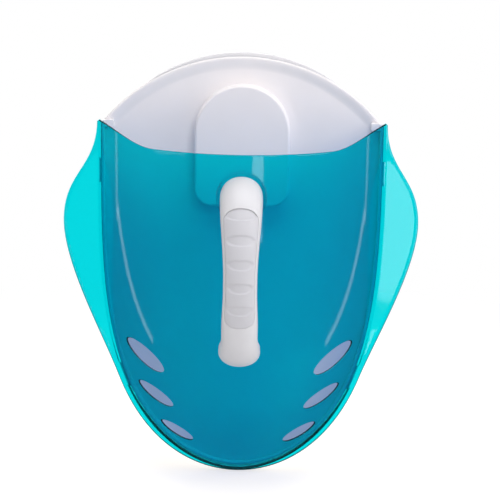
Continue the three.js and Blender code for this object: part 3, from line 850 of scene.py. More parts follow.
@dataclass(frozen=True)
class Pod:
    """Form of the pod, in heights above its tip and depths before its open back."""

    height: float
    half_width: float = 0.124
    depth: float = 0.130
    wall: float = 0.0024
    width_power: float = 3.6
    depth_power: float = 2.5
    section_power: float = 2.0
    flare: float = 0.5
    rim_dip: float = 0.0138
    rim_flat_half: float = 0.073

    @property
    def back_level(self) -> float:
        """Place of the open back on the section's oval, whose middle lies behind it."""
        return self.flare / (1 + self.flare)

    @property
    def spread(self) -> float:
        """Half width of the section's oval for a half width of one at the open back."""
        return (1 - self.back_level**self.section_power) ** (-1 / self.section_power)

    def edge_angle(self, share: np.ndarray) -> np.ndarray:
        """Angle at which the section comes to a share of its depth, largest at the open back."""
        level = (share + self.flare) / (1 + self.flare)
        return np.arccos(np.clip(level, 0, 1) ** (self.section_power / 2))

    def half_at(self, height: np.ndarray, inset: float, depth: float) -> np.ndarray:
        """Half width at a depth before the open back.

        Args:
            height: Heights above the tip.
            inset: How far inside the outer skin.
            depth: Depth of the cut.

        Returns:
            Half widths.
        """
        half, full = self.size(height, inset)
        level = (depth / np.maximum(full, WELD) + self.flare) / (1 + self.flare)
        kept = np.clip(1 - level**self.section_power, 0, 1)
        return half * self.spread * kept ** (1 / self.section_power)

    def size(self, height: np.ndarray, inset: float = 0.0) -> tuple[np.ndarray, np.ndarray]:
        """Half width and depth at a height.

        Args:
            height: Heights above the tip.
            inset: How far inside the outer skin.

        Returns:
            Half widths and depths.
        """
        left = 1 - np.clip((height - inset) / (self.height - inset), 0, 1)
        half = (self.half_width - inset) * np.sqrt(1 - left**self.width_power)
        return half, (self.depth - inset) * np.sqrt(1 - left**self.depth_power)

    def skin(self, height: np.ndarray, angle: np.ndarray, inset: float = 0.0) -> np.ndarray:
        """Points of the skin.

        Args:
            height: Heights above the tip.
            angle: Angles from the middle plane round the section's oval.
            inset: How far inside the outer skin.

        Returns:
            Points with one more axis than the angles.
        """
        half, depth = self.size(height, inset)
        power = 2 / self.section_power
        x = half * self.spread * signed_power(np.sin(angle), power)
        y = -depth * ((1 + self.flare) * np.clip(np.cos(angle), 0, 1) ** power - self.flare)
        return columns(x, y, height)

    def front(self, x: np.ndarray, height: np.ndarray, inset: float = 0.0) -> np.ndarray:
        """Depth of the skin at a place seen from the front.

        Args:
            x: Places across.
            height: Heights above the tip.
            inset: How far inside the outer skin.

        Returns:
            Depths before the open back.
        """
        half, depth = self.size(height, inset)
        share = np.clip(np.abs(x) / np.maximum(half * self.spread, WELD), 0, 1)
        level = (1 - share**self.section_power) ** (1 / self.section_power)
        return depth * ((1 + self.flare) * level - self.flare)

    def lowest(self, depth: float, inset: float = 0.0) -> float:
        """Height at which the middle of the pod comes to a depth."""
        rise = 1 - (1 - (depth / (self.depth - inset)) ** 2) ** (1 / self.depth_power)
        return inset + (self.height - inset) * rise

    def outline(self, inset: float, depth: float) -> np.ndarray:
        """Right-hand outline from below upwards, cut at a depth.

        Args:
            inset: How far inside the outer skin.
            depth: Depth of the cut.

        Returns:
            Points (x, height).
        """
        low = self.lowest(depth, inset)
        height = low + (self.height - low) * row_shares(POD_ROWS)
        return columns(self.half_at(height, inset, depth), height)

    def rim(self, x: np.ndarray) -> np.ndarray:
        """Height of the rim, which dips to the front and rises to the corners."""
        rise = smoothstep(np.abs(x), self.rim_flat_half, self.half_width)
        return self.height - self.rim_dip * (1 - rise)

    def seat(self, height: float, pad_radius: float) -> Seat:
        """Place of a handle foot at a height.

        Args:
            height: Height above the tip.
            pad_radius: Radius of the pad under the foot.

        Returns:
            The seat.
        """
        step = 0.0005
        low, middle, high = self.size(np.array([height - step, height, height + step]))[1]
        tilt = math.atan2(high - low, 2 * step)
        away = Vector((0, -math.cos(tilt), -math.sin(tilt)))
        return Seat(Vector((0, -middle, height)), away, pad_radius)


@dataclass(frozen=True)
class Drain:
    """A drain hole of the right-hand side."""

    across: float
    height: float
    length: float
    width: float
    tilt: float

    def outline(self, side: int, grow: float) -> np.ndarray:
        """Outline seen from the front.

        Args:
            side: 1 on the right, -1 on the left.
            grow: How far it is moved out.

        Returns:
            Points (x, height).
        """
        turn = np.linspace(0, 2 * math.pi, DRAIN_STEPS, endpoint=False)
        along = (self.length / 2 + grow) * np.cos(turn)
        through = (self.width / 2 + grow) * np.sin(turn)
        lean, rise = math.cos(math.radians(self.tilt)), math.sin(math.radians(self.tilt))
        x = self.across + along * lean - through * rise
        return columns(side * x, self.height + along * rise + through * lean)


@dataclass(frozen=True)
class Snap:
    """Lugs of the panel that catch in windows of the pod's side walls."""

    heights: tuple[float, ...]
    length: float = 0.020
    reach: float = 0.003
    depth: float = 0.0032
    setback: float = 0.005
    clearance: float = 0.00035

    def prism(self, name: str, section: np.ndarray, length: float, height: float, side: int,
              edge: Callable[[float], float], offset: Vector) -> bpy.types.Object:
        """A prism along the panel's side edge.

        Args:
            name: Name of the object.
            section: Points (distance outside the edge, depth).
            length: Length along the edge.
            height: Height of its middle.
            side: 1 on the right, -1 on the left.
            edge: Half width of the panel at a height.
            offset: Where the scoop's own origin lies.

        Returns:
            The prism.
        """
        lean = (edge(height + self.length / 2) - edge(height - self.length / 2)) / self.length
        out, depth = section.T
        ends = [columns(side * (edge(height) + out + lean * rise), -depth, height + rise)
                for rise in (-length / 2, length / 2)]
        return Draft.tube(ends).solid(name, offset)


FLAT_SHARES = (0.33, 0.67)
FILLET_TURNS = (math.pi / 6, math.pi / 3, math.pi / 2)
DRAIN_TURNS = np.radians([22, 45, 68, 90])

# Section of the edge bead: shares of its foot or width, each with a share of its rise or metres
BEAD_FOOT = ((1, 0), (0.3, 0.2), (0, 0.6))
BEAD_SHOULDER = ((0.88, 0.1), (0.68, 0))
BEAD_FRONT = ((0.32, 0), (0.1, 0.0002), (0, 0.0008))
BEAD_BACK = ((0, 0.0007), (0.08, 0.0002), (0.26, 0))


@dataclass
class ScoopShell:
    """The translucent moulding: pod, side wings, lip, drain holes and handle pads."""

    pod: Pod
    offset: Vector
    wing_half: float
    snap: Snap
    seats: tuple[Seat, ...]
    panel_edge: Callable[[float], float]
    wing_widest_drop: float = 0.087
    wing_foot: float = 0.082
    wing_upper_pull: float = 0.042
    wing_lower_pull: float = 0.038
    sheet: float = 0.0024
    lip: float = 0.0025
    bead_width: float = 0.0026
    bead_depth: float = 0.0044
    bead_share: float = 0.6
    bead_foot: float = 0.0008
    bead_foot_share: float = 0.15
    bead_fade: tuple[float, float] = (0.003, 0.009)
    wing_fillet: float = 0.0012
    wing_fillet_share: float = 0.2
    corner_room: float = 0.0005
    pad_rise: float = 0.0016
    pad_round: float = 0.0008
    pad_root: float = 0.0015
    screw_hole: float = 0.0023
    screw_spot: float = 0.0054
    screw_plane: float = -0.0018
    bore_inside: float = 0.02
    bore_outside: float = 0.01
    drain_round: float = 0.0007
    drain_brim: float = 0.06
    drain_spread: float = 1.05
    drain_reach: float = 0.004
    drains: tuple[Drain, ...] = (
        Drain(0.0784, 0.1135, 0.038, 0.014, 35),
        Drain(0.0694, 0.079, 0.033, 0.011, 28.5),
        Drain(0.0514, 0.046, 0.0295, 0.010, 26),
    )

    def edge_half(self, height: np.ndarray) -> np.ndarray:
        """Half width of the back plate at a height.

        Args:
            height: Heights above the tip.

        Returns:
            Half widths to the edge of the lip or wing.
        """
        def lip_half(at: Union[np.ndarray, float]) -> np.ndarray:
            """Half width to the lip's edge."""
            return self.pod.size(np.asarray(at), -self.lip)[0]

        step, low, high = 0.001, self.wing_lower_pull, self.wing_upper_pull
        foot = np.array([lip_half(self.wing_foot), self.wing_foot])
        lean = (lip_half(self.wing_foot) - lip_half(self.wing_foot - step)) / step
        pull = np.array([lean, 1.0]) * low / math.hypot(lean, 1)
        widest = np.array([self.wing_half, self.pod.height - self.wing_widest_drop])
        corner = np.array([self.pod.half_width, self.pod.height])
        lower = bezier([foot, foot + pull, widest - (0, low), widest], CURVE_STEPS)
        upper = bezier([widest, widest + (0, high), corner - (0, high), corner], CURVE_STEPS)
        wing = np.concatenate([lower, upper[1:]])
        wing_half = np.interp(height, wing[:, 1], wing[:, 0])
        return np.where(height < self.wing_foot, lip_half(height), wing_half)

    def moulding(self) -> bpy.types.Object:
        """The bare moulding, before anything is cut.

        Returns:
            One closed solid.
        """
        pod, shares = self.pod, row_shares(POD_ROWS)
        reach = np.linspace(-1, 1, POD_COLUMNS + 1)
        lip_round = pod.wall / 2
        top = pod.height - lip_round
        edge_height = -self.lip + (top + self.lip) * shares
        edge = columns(self.edge_half(edge_height), edge_height)
        bare = columns(pod.size(top * shares)[0], top * shares)
        room = np.linalg.norm(edge - bare, axis=-1)
        plate = self.bead_depth + (self.sheet - self.bead_depth) * smoothstep(room, *self.bead_fade)
        fillet = np.minimum(self.wing_fillet, self.wing_fillet_share * room)

        low = pod.lowest(plate[0] + fillet[0])
        wall_height = low + (top - low) * shares
        full = pod.size(wall_height)[1]
        turn = pod.edge_angle((plate + fillet) / full)
        crest = pod.rim(pod.skin(np.array(pod.height), turn[-1] * reach)[:, 0]) - lip_round
        outer = pod.skin(low + (crest - low) * shares[:, None], turn[:, None] * reach)
        back = float(pod.edge_angle(np.array(0.0)))
        crest = pod.rim(pod.skin(np.array(pod.height), back * reach, pod.wall)[:, 0]) - lip_round
        inner_height = pod.wall + (crest - pod.wall) * shares[:, None]
        inner = pod.skin(inner_height, np.broadcast_to(back * reach, inner_height.shape), pod.wall)

        middle, half = (outer[-1] + inner[-1]) / 2, (outer[-1] - inner[-1]) / 2
        turns = np.linspace(0, math.pi, RIM_STEPS + 1)
        rim = np.stack([middle + half * math.cos(a) + UP * lip_round * math.sin(a) for a in turns])
        flange = self.flange(outer[:, -1], inner[:, -1], edge, plate, fillet)
        whole = np.concatenate([flange[:0:-1] * (-1, 1, 1), flange])

        draft = Draft()
        for grid in (outer, inner, rim, whole):
            draft.sheet(grid)
        draft.cap(np.concatenate([flange[-1], rim[-2:0:-1, -1]]))
        draft.cap(np.concatenate([flange[-1] * (-1, 1, 1), rim[-2:0:-1, 0]]))
        return draft.solid("shell_moulding", self.offset)

    def flange(self, wall: np.ndarray, inside: np.ndarray, edge: np.ndarray, plate: np.ndarray,
               fillet: np.ndarray) -> np.ndarray:
        """Right-hand wing and lip, from the pod's outer wall round the edge to its inner wall.

        Args:
            wall: Points along the pod's outer wall, from the tip upwards.
            inside: Points along the pod's inner wall at the open back.
            edge: Edge of the wing and lip (x, height).
            plate: Thickness of the plate along the wall.
            fillet: Radius between the plate and the wall.

        Returns:
            Points as (stations, profile, 3).
        """
        start = wall[:, (0, 2)]
        least = start[:, 0] + self.corner_room * row_shares(POD_ROWS)
        way = columns(np.maximum(edge[:, 0], least), edge[:, 1]) - start
        room = np.linalg.norm(way, axis=-1)
        bead = np.minimum(self.bead_width, self.bead_share * room)
        foot = np.minimum(self.bead_foot, self.bead_foot_share * room)
        rise = self.bead_depth - plate
        crown = np.full(len(room), self.bead_depth)
        flat = room - bead - foot - fillet
        profile = [(0 * room, -wall[:, 1])]
        profile += [(fillet * (1 - math.cos(turn)), plate + fillet * (1 - math.sin(turn)))
                    for turn in FILLET_TURNS]
        profile += [(fillet + flat * share, plate) for share in FLAT_SHARES]
        profile += [(room - bead - foot * share, plate + rise * level) for share, level in BEAD_FOOT]
        profile += [(room - bead * share, crown - rise * level) for share, level in BEAD_SHOULDER]
        profile += [(room - bead * share, crown - drop) for share, drop in BEAD_FRONT]
        profile += [(room - bead * share, 0 * room + level) for share, level in BEAD_BACK]
        points = [upright(start + way * (out / room)[:, None], depth) for out, depth in profile]
        last = points[-1]
        points += [last + (inside - last) * share for share in (*FLAT_SHARES, 1)]
        return np.stack(points, axis=1)

    def drain_cutter(self, number: int, side: int) -> bpy.types.Object:
        """Cutter of a drain hole with rounded edges on both skins.

        Args:
            number: Place of the hole from the top.
            side: 1 on the right, -1 on the left.

        Returns:
            The cutter.
        """
        hole, round_, wall = self.drains[number], self.drain_round, self.pod.wall
        levels = [(-self.drain_reach, self.drain_spread * round_),
                  (-self.drain_brim * round_, round_)]
        levels += [(round_ * (1 - math.cos(turn)), round_ * (1 - math.sin(turn)))
                   for turn in DRAIN_TURNS]
        levels += [(wall - inset, grow) for inset, grow in reversed(levels)]
        rings = []
        for inset, grow in levels:
            ring = hole.outline(side, grow)
            rings.append(upright(ring, self.pod.front(ring[:, 0], ring[:, 1], inset)))
        return Draft.tube(rings).solid(f"drain_{number}_{side}", self.offset)

    def build(self) -> None:
        """Builds and dresses the shell."""
        shell = self.moulding()
        tools: list[tuple[Carve, bpy.types.Object]] = []
        front = rounding(0, self.pad_rise, 0, self.pad_round)[-ROUND_STEPS - 1:]
        for seat in self.seats:
            radius = seat.pad_radius
            pad = [(0, -self.pad_root), (radius, -self.pad_root),
                   (radius, self.pad_rise - self.pad_round)]
            pad += [(radius + out, level) for out, level in front] + [(0, self.pad_rise)]
            tools.append((Carve.JOIN, revolve("pad", pad, seat.skin + self.offset, seat.outward)))
        bore = [(0, -self.bore_inside), (self.screw_spot, -self.bore_inside),
                (self.screw_spot, self.screw_plane), (self.screw_hole, self.screw_plane),
                (self.screw_hole, self.bore_outside), (0, self.bore_outside)]
        for seat in self.seats:
            tools.append((Carve.CUT, revolve("bore", bore, seat.skin + self.offset, seat.outward)))
        for side in SIDES:
            for number in range(len(self.drains)):
                tools.append((Carve.CUT, self.drain_cutter(number, side)))
            for height in self.snap.heights:
                tools.append((Carve.CUT, self.snap_window(height, side)))
        carve(shell, tools)
        dress(shell, TEAL, Body.SCOOP, "scoop_shell")

    def snap_window(self, height: float, side: int) -> bpy.types.Object:
        """Window that catches a lug of the panel.

        Args:
            height: Height of its middle.
            side: 1 on the right, -1 on the left.

        Returns:
            The cutter.
        """
        snap, wall = self.snap, self.pod.wall
        back, front = snap.setback - snap.clearance, snap.setback + snap.depth + snap.clearance
        out = snap.reach + wall
        section = np.array([[-wall, back], [-wall, front], [out, front], [out, back]])
        return snap.prism("window", section, snap.length + 2 * snap.clearance, height, side,
                          self.panel_edge, self.offset)


# The back panel


BOSS_TURNS = np.radians([15, 40, 65, 90])


@dataclass
class BackPanel:
    """The white panel in the pod's open back, with the hollow boss that takes the hook."""

    pod: Pod
    offset: Vector
    snap: Snap
    inset: float
    hook_half: float
    hook_top: float
    catch: float
    slot_bottom: float
    bumper_back: float
    sheet: float = 0.0024
    rim_width: float = 0.0024
    rim_depth: float = 0.0086
    shoulder_half: float = 0.1175
    shoulder_rise: float = 0.0006
    arch_rise: float = 0.055
    bead_width: float = 0.0026
    bead_depth: float = 0.0046
    bead_slope: float = 0.010
    tab_width: float = 0.008
    tab_height: float = 0.007
    tab_corner: float = 0.0015
    boss_side_room: float = 0.0136
    boss_head_room: float = 0.0073
    boss_rise: float = 0.013
    boss_wall: float = 0.0024
    boss_round: float = 0.002
    boss_fillet: float = 0.0012
    boss_corner: float = 0.012
    boss_foot: float = 0.006
    slot_clearance: float = 0.003
    slot_reach: float = 0.01
    bumper_half_span: float = 0.042
    bumper_height: float = 0.062
    bumper_length: float = 0.030
    bumper_width: float = 0.005
    edge_round: float = 0.0007
    tuck: float = 0.0004

    def arch(self, inside: float = 0.0) -> np.ndarray:
        """Arched top edge, from the right shoulder to the left one.

        Args:
            inside: How far inside the edge.

        Returns:
            Points (x, height).
        """
        shoulder = self.pod.height + self.shoulder_rise
        crown = self.pod.height + self.arch_rise
        rise = crown - shoulder
        radius = (self.shoulder_half**2 + rise**2) / (2 * rise)
        start = math.asin((radius - rise) / radius)
        return arc((0, crown - radius), radius - inside, start, math.pi - start, 2 * CURVE_STEPS)

    def boss_outline(self, wall: float) -> np.ndarray:
        """Outline of the boss, round at the top and square at the foot.

        Args:
            wall: How far outside its pocket.

        Returns:
            Points (x, height).
        """
        pocket = self.hook_half + self.boss_side_room
        centre = self.hook_top + self.boss_head_room - math.sqrt(pocket**2 - self.hook_half**2)
        half, bottom = pocket + wall, self.slot_bottom - self.boss_foot - wall
        return np.concatenate([
            arc((0, centre), half, 0, math.pi, CURVE_STEPS),
            round_foot(half, bottom, self.boss_corner + wall),
        ])

    def build(self) -> None:
        """Builds and dresses the panel."""
        edge = mirrored(self.pod.outline(self.inset, self.rim_depth))
        tucked = mirrored(self.pod.outline(self.inset + self.tuck, self.rim_depth))
        outline = np.concatenate([tucked, self.arch(self.tuck)])
        panel = tower(outline, [(0, 0), (0, self.sheet)]).solid("panel_moulding", self.offset)
        soft = self.edge_round
        joined = [
            tower(band(edge, self.rim_width), rounding(0, self.rim_depth, soft, soft)),
            self.bead(),
            self.boss(),
        ]
        for side in SIDES:
            x = side * (self.shoulder_half - self.tab_width / 2)
            height = self.pod.height + self.shoulder_rise - self.tab_height / 2
            tab = rounded_rectangle((x, height), self.tab_width, self.tab_height, self.tab_corner)
            joined.append(tower(tab, rounding(self.sheet / 2, self.rim_depth, 0, soft)))
            middle = (side * self.bumper_half_span, self.bumper_height)
            rib = rounded_rectangle(middle, self.bumper_width, self.bumper_length,
                                    self.bumper_width / 2 - WELD)
            joined.append(tower(rib, rounding(-self.bumper_back, self.sheet / 2, 2 * soft, 0)))
        tools = [(Carve.JOIN, draft.solid("join", self.offset)) for draft in joined]
        for side in SIDES:
            tools += [(Carve.JOIN, self.lug(height, side)) for height in self.snap.heights]
        pocket_floor = self.sheet + self.boss_rise - self.boss_wall
        pocket = tower(self.boss_outline(0), [(0, self.sheet), (0, pocket_floor)])
        half = self.hook_half + self.slot_clearance
        slot = rounded_rectangle((0, (self.slot_bottom + self.catch) / 2), 2 * half,
                                 self.catch - self.slot_bottom, self.tab_corner)
        window = tower(slot, [(0, -self.slot_reach), (0, self.sheet + self.boss_wall)])
        tools += [(Carve.CUT, draft.solid("cut", self.offset)) for draft in (pocket, window)]
        carve(panel, tools)
        dress(panel, WHITE, Body.SCOOP, "back_panel")

    def bead(self) -> Draft:
        """The bead along the arch, round at the edge and running out softly into the sheet.

        Returns:
            Its draft.
        """
        edge = rounding(0, self.bead_depth, self.edge_round, self.bead_width / 2)
        run = np.linspace(0, 1, CURVE_STEPS // 2)
        fall = self.bead_depth - (self.bead_depth - self.sheet) * smoothstep(run, 0, 1)
        slope = list(zip(self.bead_width / 2 + self.bead_slope * run, fall))
        foot = slope[-1][0] + self.tuck
        section = [(-out, level) for out, level in edge] + slope[1:]
        section += [(foot, self.sheet - self.tuck), (foot, 0)]
        lines = [upright(self.arch(inside), level) for inside, level in section]
        return Draft.tube(np.stack(lines, axis=1))

    def boss(self) -> Draft:
        """The boss with a round front edge and a fillet at its root.

        Returns:
            Its draft.
        """
        fillet = [(self.boss_fillet * (1 - math.sin(turn)),
                   self.sheet + self.boss_fillet * (1 - math.cos(turn))) for turn in BOSS_TURNS]
        root = [(fillet[0][0], self.sheet / 2)]
        front = rounding(0, self.sheet + self.boss_rise, 0, self.boss_round)[ROUND_STEPS + 1:]
        return tower(self.boss_outline(self.boss_wall), root + fillet + front)

    def lug(self, height: float, side: int) -> bpy.types.Object:
        """Snap lug on the panel's side rim.

        Args:
            height: Height of its middle.
            side: 1 on the right, -1 on the left.

        Returns:
            The lug.
        """
        snap, root = self.snap, -self.rim_width / 2
        back, front = snap.setback, snap.setback + snap.depth
        section = np.array([[root, back], [root, front], [0, front], [snap.reach, back]])
        return snap.prism("lug", section, snap.length, height, side, self.edge_half, self.offset)

    def edge_half(self, height: float) -> float:
        """Half width of the panel at a height."""
        return float(self.pod.half_at(np.array(height), self.inset, self.rim_depth))


# The handle


Relief = Callable[[np.ndarray, np.ndarray], np.ndarray]


@dataclass
class BowHandle:
    """The bow handle: body, finger-side cover, soft grip and two screws."""

    seats: tuple[Seat, ...]
    offset: Vector
    pad_rise: float
    screw_plane: float
    bow: float = 0.055
    top_half: float = 0.017
    waist_half: float = 0.0134
    neck_half: float = 0.0144
    foot_half: float = 0.0168
    top_thick: float = 0.017
    waist_thick: float = 0.0105
    foot_thick: float = 0.0125
    section_power: float = 2.1
    taper: tuple[float, float] = (0.05, 0.45)
    neck: tuple[float, float] = (0.5, 0.7)
    flare: tuple[float, float] = (0.76, 0.9)
    upper_swell: tuple[float, float] = (0.0, 0.3)
    lower_swell: tuple[float, float] = (0.72, 1.0)
    seat_gap: float = 0.0003
    foot_round: float = 0.0008
    foot_shares: tuple[float, ...] = (0, 0.15, 0.45, 1)
    inlay_gap: float = 0.0003
    inlay_end_power: float = 16.0
    grip_thick: float = 0.0024
    grip_top: float = 0.0264
    grip_foot: float = 0.0573
    grip_border: float = 0.0022
    cover_thick: float = 0.0022
    cover_margin: float = 0.030
    cover_border: float = 0.0026
    recess_count: int = 5
    recess_first: float = 0.0258
    recess_pitch: float = 0.0172
    recess_border: float = 0.0028
    recess_height: float = 0.0082
    recess_crown: float = 0.35
    recess_depth: float = 0.0009
    recess_slope: float = 0.0011
    screw_radius: float = 0.002
    screw_core: float = 0.0015
    screw_length: float = 0.017
    screw_point: float = 0.003
    screw_pitch: float = 0.0014
    thread_start: float = 0.0004
    thread_slope: float = 1.8
    head_radius: float = 0.0042
    head_height: float = 0.0028
    head_brim: float = 0.2
    head_flat: float = 0.15
    head_root: float = 0.002
    cross_half: float = 0.0022
    cross_width: float = 0.0009
    cross_depth: float = 0.0016
    cross_straight: float = 0.3
    cross_draft: float = 0.00018
    cross_reach: float = 0.001
    line: np.ndarray = field(init=False)
    lengths: np.ndarray = field(init=False)

    def __post_init__(self) -> None:
        """Draws the handle's middle line."""
        lift = self.pad_rise + self.seat_gap
        ends = [np.array(seat.skin + seat.outward * lift) for seat in self.seats]
        pulls = [end + self.bow * np.array(seat.outward) for end, seat in zip(ends, self.seats)]
        self.line = bezier([ends[0], pulls[0], pulls[1], ends[1]], LINE_STEPS)
        steps = np.linalg.norm(np.diff(self.line, axis=0), axis=1)
        self.lengths = np.concatenate([[0], np.cumsum(steps)])

    def half_sizes(self, share: np.ndarray) -> tuple[np.ndarray, np.ndarray]:
        """Half sizes of the section, across and through.

        Args:
            share: Shares of the handle's length, from the top.

        Returns:
            Half sizes at each share.
        """
        top = (self.top_half - self.waist_half) * (1 - smoothstep(share, *self.taper))
        neck = (self.neck_half - self.waist_half) * smoothstep(share, *self.neck)
        foot = (self.foot_half - self.neck_half) * smoothstep(share, *self.flare)
        upper = (self.top_thick - self.waist_thick) * (1 - smoothstep(share, *self.upper_swell))
        lower = (self.foot_thick - self.waist_thick) * smoothstep(share, *self.lower_swell)
        return self.waist_half + top + neck + foot, self.waist_thick + upper + lower

    def skin(self, along: np.ndarray, angle: np.ndarray, outside: np.ndarray) -> np.ndarray:
        """Points on the skin or at a distance from it.

        Args:
            along: Distances along the handle.
            angle: Angles round the section.
            outside: Distances outside the skin.

        Returns:
            Points with one more axis than the inputs.
        """
        along, angle, outside = np.broadcast_arrays(along, angle, outside)
        across, through = self.half_sizes(along / self.lengths[-1])
        y, z = (np.interp(along, self.lengths, self.line[:, axis]) for axis in (1, 2))
        slope = np.gradient(self.line, self.lengths, axis=0)
        run, rise = (np.interp(along, self.lengths, slope[:, axis]) for axis in (1, 2))
        size = np.hypot(run, rise)
        power = 2 / self.section_power
        side = (across + outside) * signed_power(np.cos(angle), power)
        out = (through + outside) * signed_power(np.sin(angle), power)
        return columns(side, y + out * rise / size, z - out * run / size)

    def border_angle(self, along: np.ndarray, border: float) -> np.ndarray:
        """Half angle that a border of the handle's face leaves to an inlay.

        Args:
            along: Distances along the handle.
            border: Width of the border.

        Returns:
            Half angles.
        """
        across, _ = self.half_sizes(along / self.lengths[-1])
        return np.arcsin(np.maximum(0, 1 - border / across) ** (self.section_power / 2))

    def layer(self, facing: Facing, start: float, end: float, border: float, outside: float,
              inside: float, relief: Union[Relief, None] = None) -> Draft:
        """A layer of the skin with round ends.

        Args:
            facing: Side that it lies on.
            start: Where it starts along the handle.
            end: Where it ends.
            border: Width of the border beside it.
            outside: Distance of its face outside the skin.
            inside: Distance of its back inside the skin.
            relief: Depth of hollows in its face, by distance along and share across.

        Returns:
            A closed draft.
        """
        share = (1 - np.cos(np.linspace(0, math.pi, INLAY_STEPS + 1)))[:, None] / 2
        along = start + (end - start) * share
        ends = np.sqrt(np.maximum(0, 1 - np.abs(2 * share - 1) ** self.inlay_end_power))
        across = np.linspace(-1, 1, INLAY_SIDES + 1)[None, :]
        angle = facing.value + self.border_angle(along, border) * ends * across
        hollow = relief(along, across * ends) if relief else 0 * angle
        face = self.skin(along, angle, outside - hollow)
        back = self.skin(along, angle, 0 * angle - inside)
        draft = Draft()
        draft.sheet(np.concatenate([face, back[:, ::-1]], axis=1), closed=True)
        return draft

    def recesses(self, along: np.ndarray, across: np.ndarray) -> np.ndarray:
        """Depth of the finger recesses, lenses that are flatter above than below.

        Args:
            along: Distances along the handle.
            across: Shares of the grip's half width.

        Returns:
            Depths.
        """
        depth = np.zeros(np.broadcast_shapes(along.shape, across.shape))
        widest = (self.waist_half - self.grip_border) / (self.waist_half - self.recess_border)
        for number in range(self.recess_count):
            down = (along - self.recess_first - number * self.recess_pitch) / self.recess_height
            reach = np.where(down < self.recess_crown, self.recess_crown, 1 - self.recess_crown)
            bow = np.sqrt(((down - self.recess_crown) / reach) ** 2 + (across * widest) ** 2)
            inside = (1 - bow) * reach * self.recess_height
            depth = np.maximum(depth, self.recess_depth * smoothstep(inside, 0, self.recess_slope))
        return depth

    def grip(self, grow: float, outside: float) -> Draft:
        """The grip's layer, or the pocket that takes it."""
        start, end = self.grip_top - grow, self.lengths[-1] - self.grip_foot + grow
        return self.layer(Facing.FRONT, start, end, self.grip_border - grow, outside,
                          self.grip_thick + grow, None if grow else self.recesses)

    def cover(self, grow: float, outside: float) -> Draft:
        """The cover's layer, or the pocket that takes it."""
        start, end = self.cover_margin - grow, self.lengths[-1] - self.cover_margin + grow
        return self.layer(Facing.FINGERS, start, end, self.cover_border - grow, outside,
                          self.cover_thick + grow)

    def body(self) -> bpy.types.Object:
        """The handle's body with its two pockets.

        Returns:
            The carved solid.
        """
        length = self.lengths[-1]
        edge = np.array(self.foot_shares) * self.foot_round
        between = np.linspace(0, length, HANDLE_STEPS + 1)[2:-2]
        along = np.concatenate([edge, between, length - edge[::-1]])[:, None]
        near = np.minimum(along, length - along) / self.foot_round
        shrink = self.foot_round * (1 - np.sqrt(1 - (1 - np.clip(near, 0, 1)) ** 2))
        angle = np.linspace(0, 2 * math.pi, HANDLE_SIDES, endpoint=False)[None, :]
        rings = self.skin(along, angle, -shrink)
        body = Draft.tube(rings).solid("handle_moulding", self.offset)
        gap = self.inlay_gap
        pockets = (self.grip(gap, self.grip_thick), self.cover(gap, self.cover_thick))
        tools = [(Carve.CUT, pocket.solid("pocket", self.offset)) for pocket in pockets]
        bore = self.screw_radius + gap
        depth = self.screw_plane + self.screw_length + gap
        profile = [(0, 0), (bore, 0), (bore, depth - self.screw_point), (0, depth)]
        tools += [(Carve.CUT, revolve("bore", profile, seat.skin + self.offset, seat.outward))
                  for seat in self.seats]
        carve(body, tools)
        return body

    def screw(self, name: str, seat: Seat) -> bpy.types.Object:
        """A pan-head screw with a cross recess and a running thread.

        Args:
            name: Name of the piece.
            seat: Foot that it holds.

        Returns:
            The screw, in place.
        """
        under = self.screw_plane - self.seat_gap
        tip = under + self.screw_length
        along = np.linspace(under + self.thread_start, tip, THREAD_STEPS)[:, None]
        turn = np.linspace(0, 2 * math.pi, TURN_STEPS, endpoint=False)[None, :]
        phase = np.mod(along / self.screw_pitch - turn / (2 * math.pi), 1)
        ridge = np.clip(1 - np.abs(2 * phase - 1) * self.thread_slope, 0, 1)
        point = np.clip((tip - along) / self.screw_point, 0, 1)
        radius = point * (self.screw_core + (self.screw_radius - self.screw_core) * ridge)
        thread = columns(radius * np.cos(turn), radius * np.sin(turn), along)
        draft = Draft()
        draft.sheet(thread, closed=True)
        draft.cap(thread[0])
        made = draft.solid(name, Vector())
        top, root = under - self.head_height, under + self.head_root
        head = [(0, top)]
        for angle in np.linspace(self.head_flat, math.pi / 2, HEAD_STEPS):
            dome = self.head_brim + (1 - self.head_brim) * math.cos(angle)
            head.append((self.head_radius * math.sin(angle), under - self.head_height * dome))
        head += [(self.head_radius, under), (self.screw_core, under),
                 (self.screw_core, root), (0, root)]
        tools = [(Carve.JOIN, revolve("head", head, Vector(), Vector((0, 0, 1))))]
        levels = [(0, top - self.cross_reach), (0, top + self.cross_straight * self.cross_depth),
                  (-self.cross_draft, top + self.cross_depth)]
        arm = (2 * self.cross_half, self.cross_width)
        for width, tall in (arm, arm[::-1]):
            bar = rounded_rectangle((0, 0), width, tall, self.cross_width / 4)
            tools.append((Carve.CUT, tower(bar, levels, lying).solid("cross", Vector())))
        carve(made, tools)
        made.data.transform(standing(seat.skin + self.offset, seat.outward))
        return made

    def build(self) -> None:
        """Builds and dresses the handle's pieces."""
        dress(self.body(), HANDLE_WHITE, Body.SCOOP, "handle_body")
        cover = self.cover(0, 0).solid("cover_moulding", self.offset)
        dress(cover, HANDLE_WHITE, Body.SCOOP, "handle_cover")
        grip = self.grip(0, 0).solid("grip_moulding", self.offset)
        dress(grip, SOFT, Body.SCOOP, "grip_pad")
        for place, seat in zip(PLACES, self.seats):
            screw = self.screw(f"screw_{place}", seat)
            dress(screw, STEEL, Body.SCOOP, f"handle_screw_{place}")


# The wall bracket


STRIP_BULGE = ((0, 0), (0.0001, 0.2), (0.00025, 0.5), (0.0001, 0.8), (0, 1))


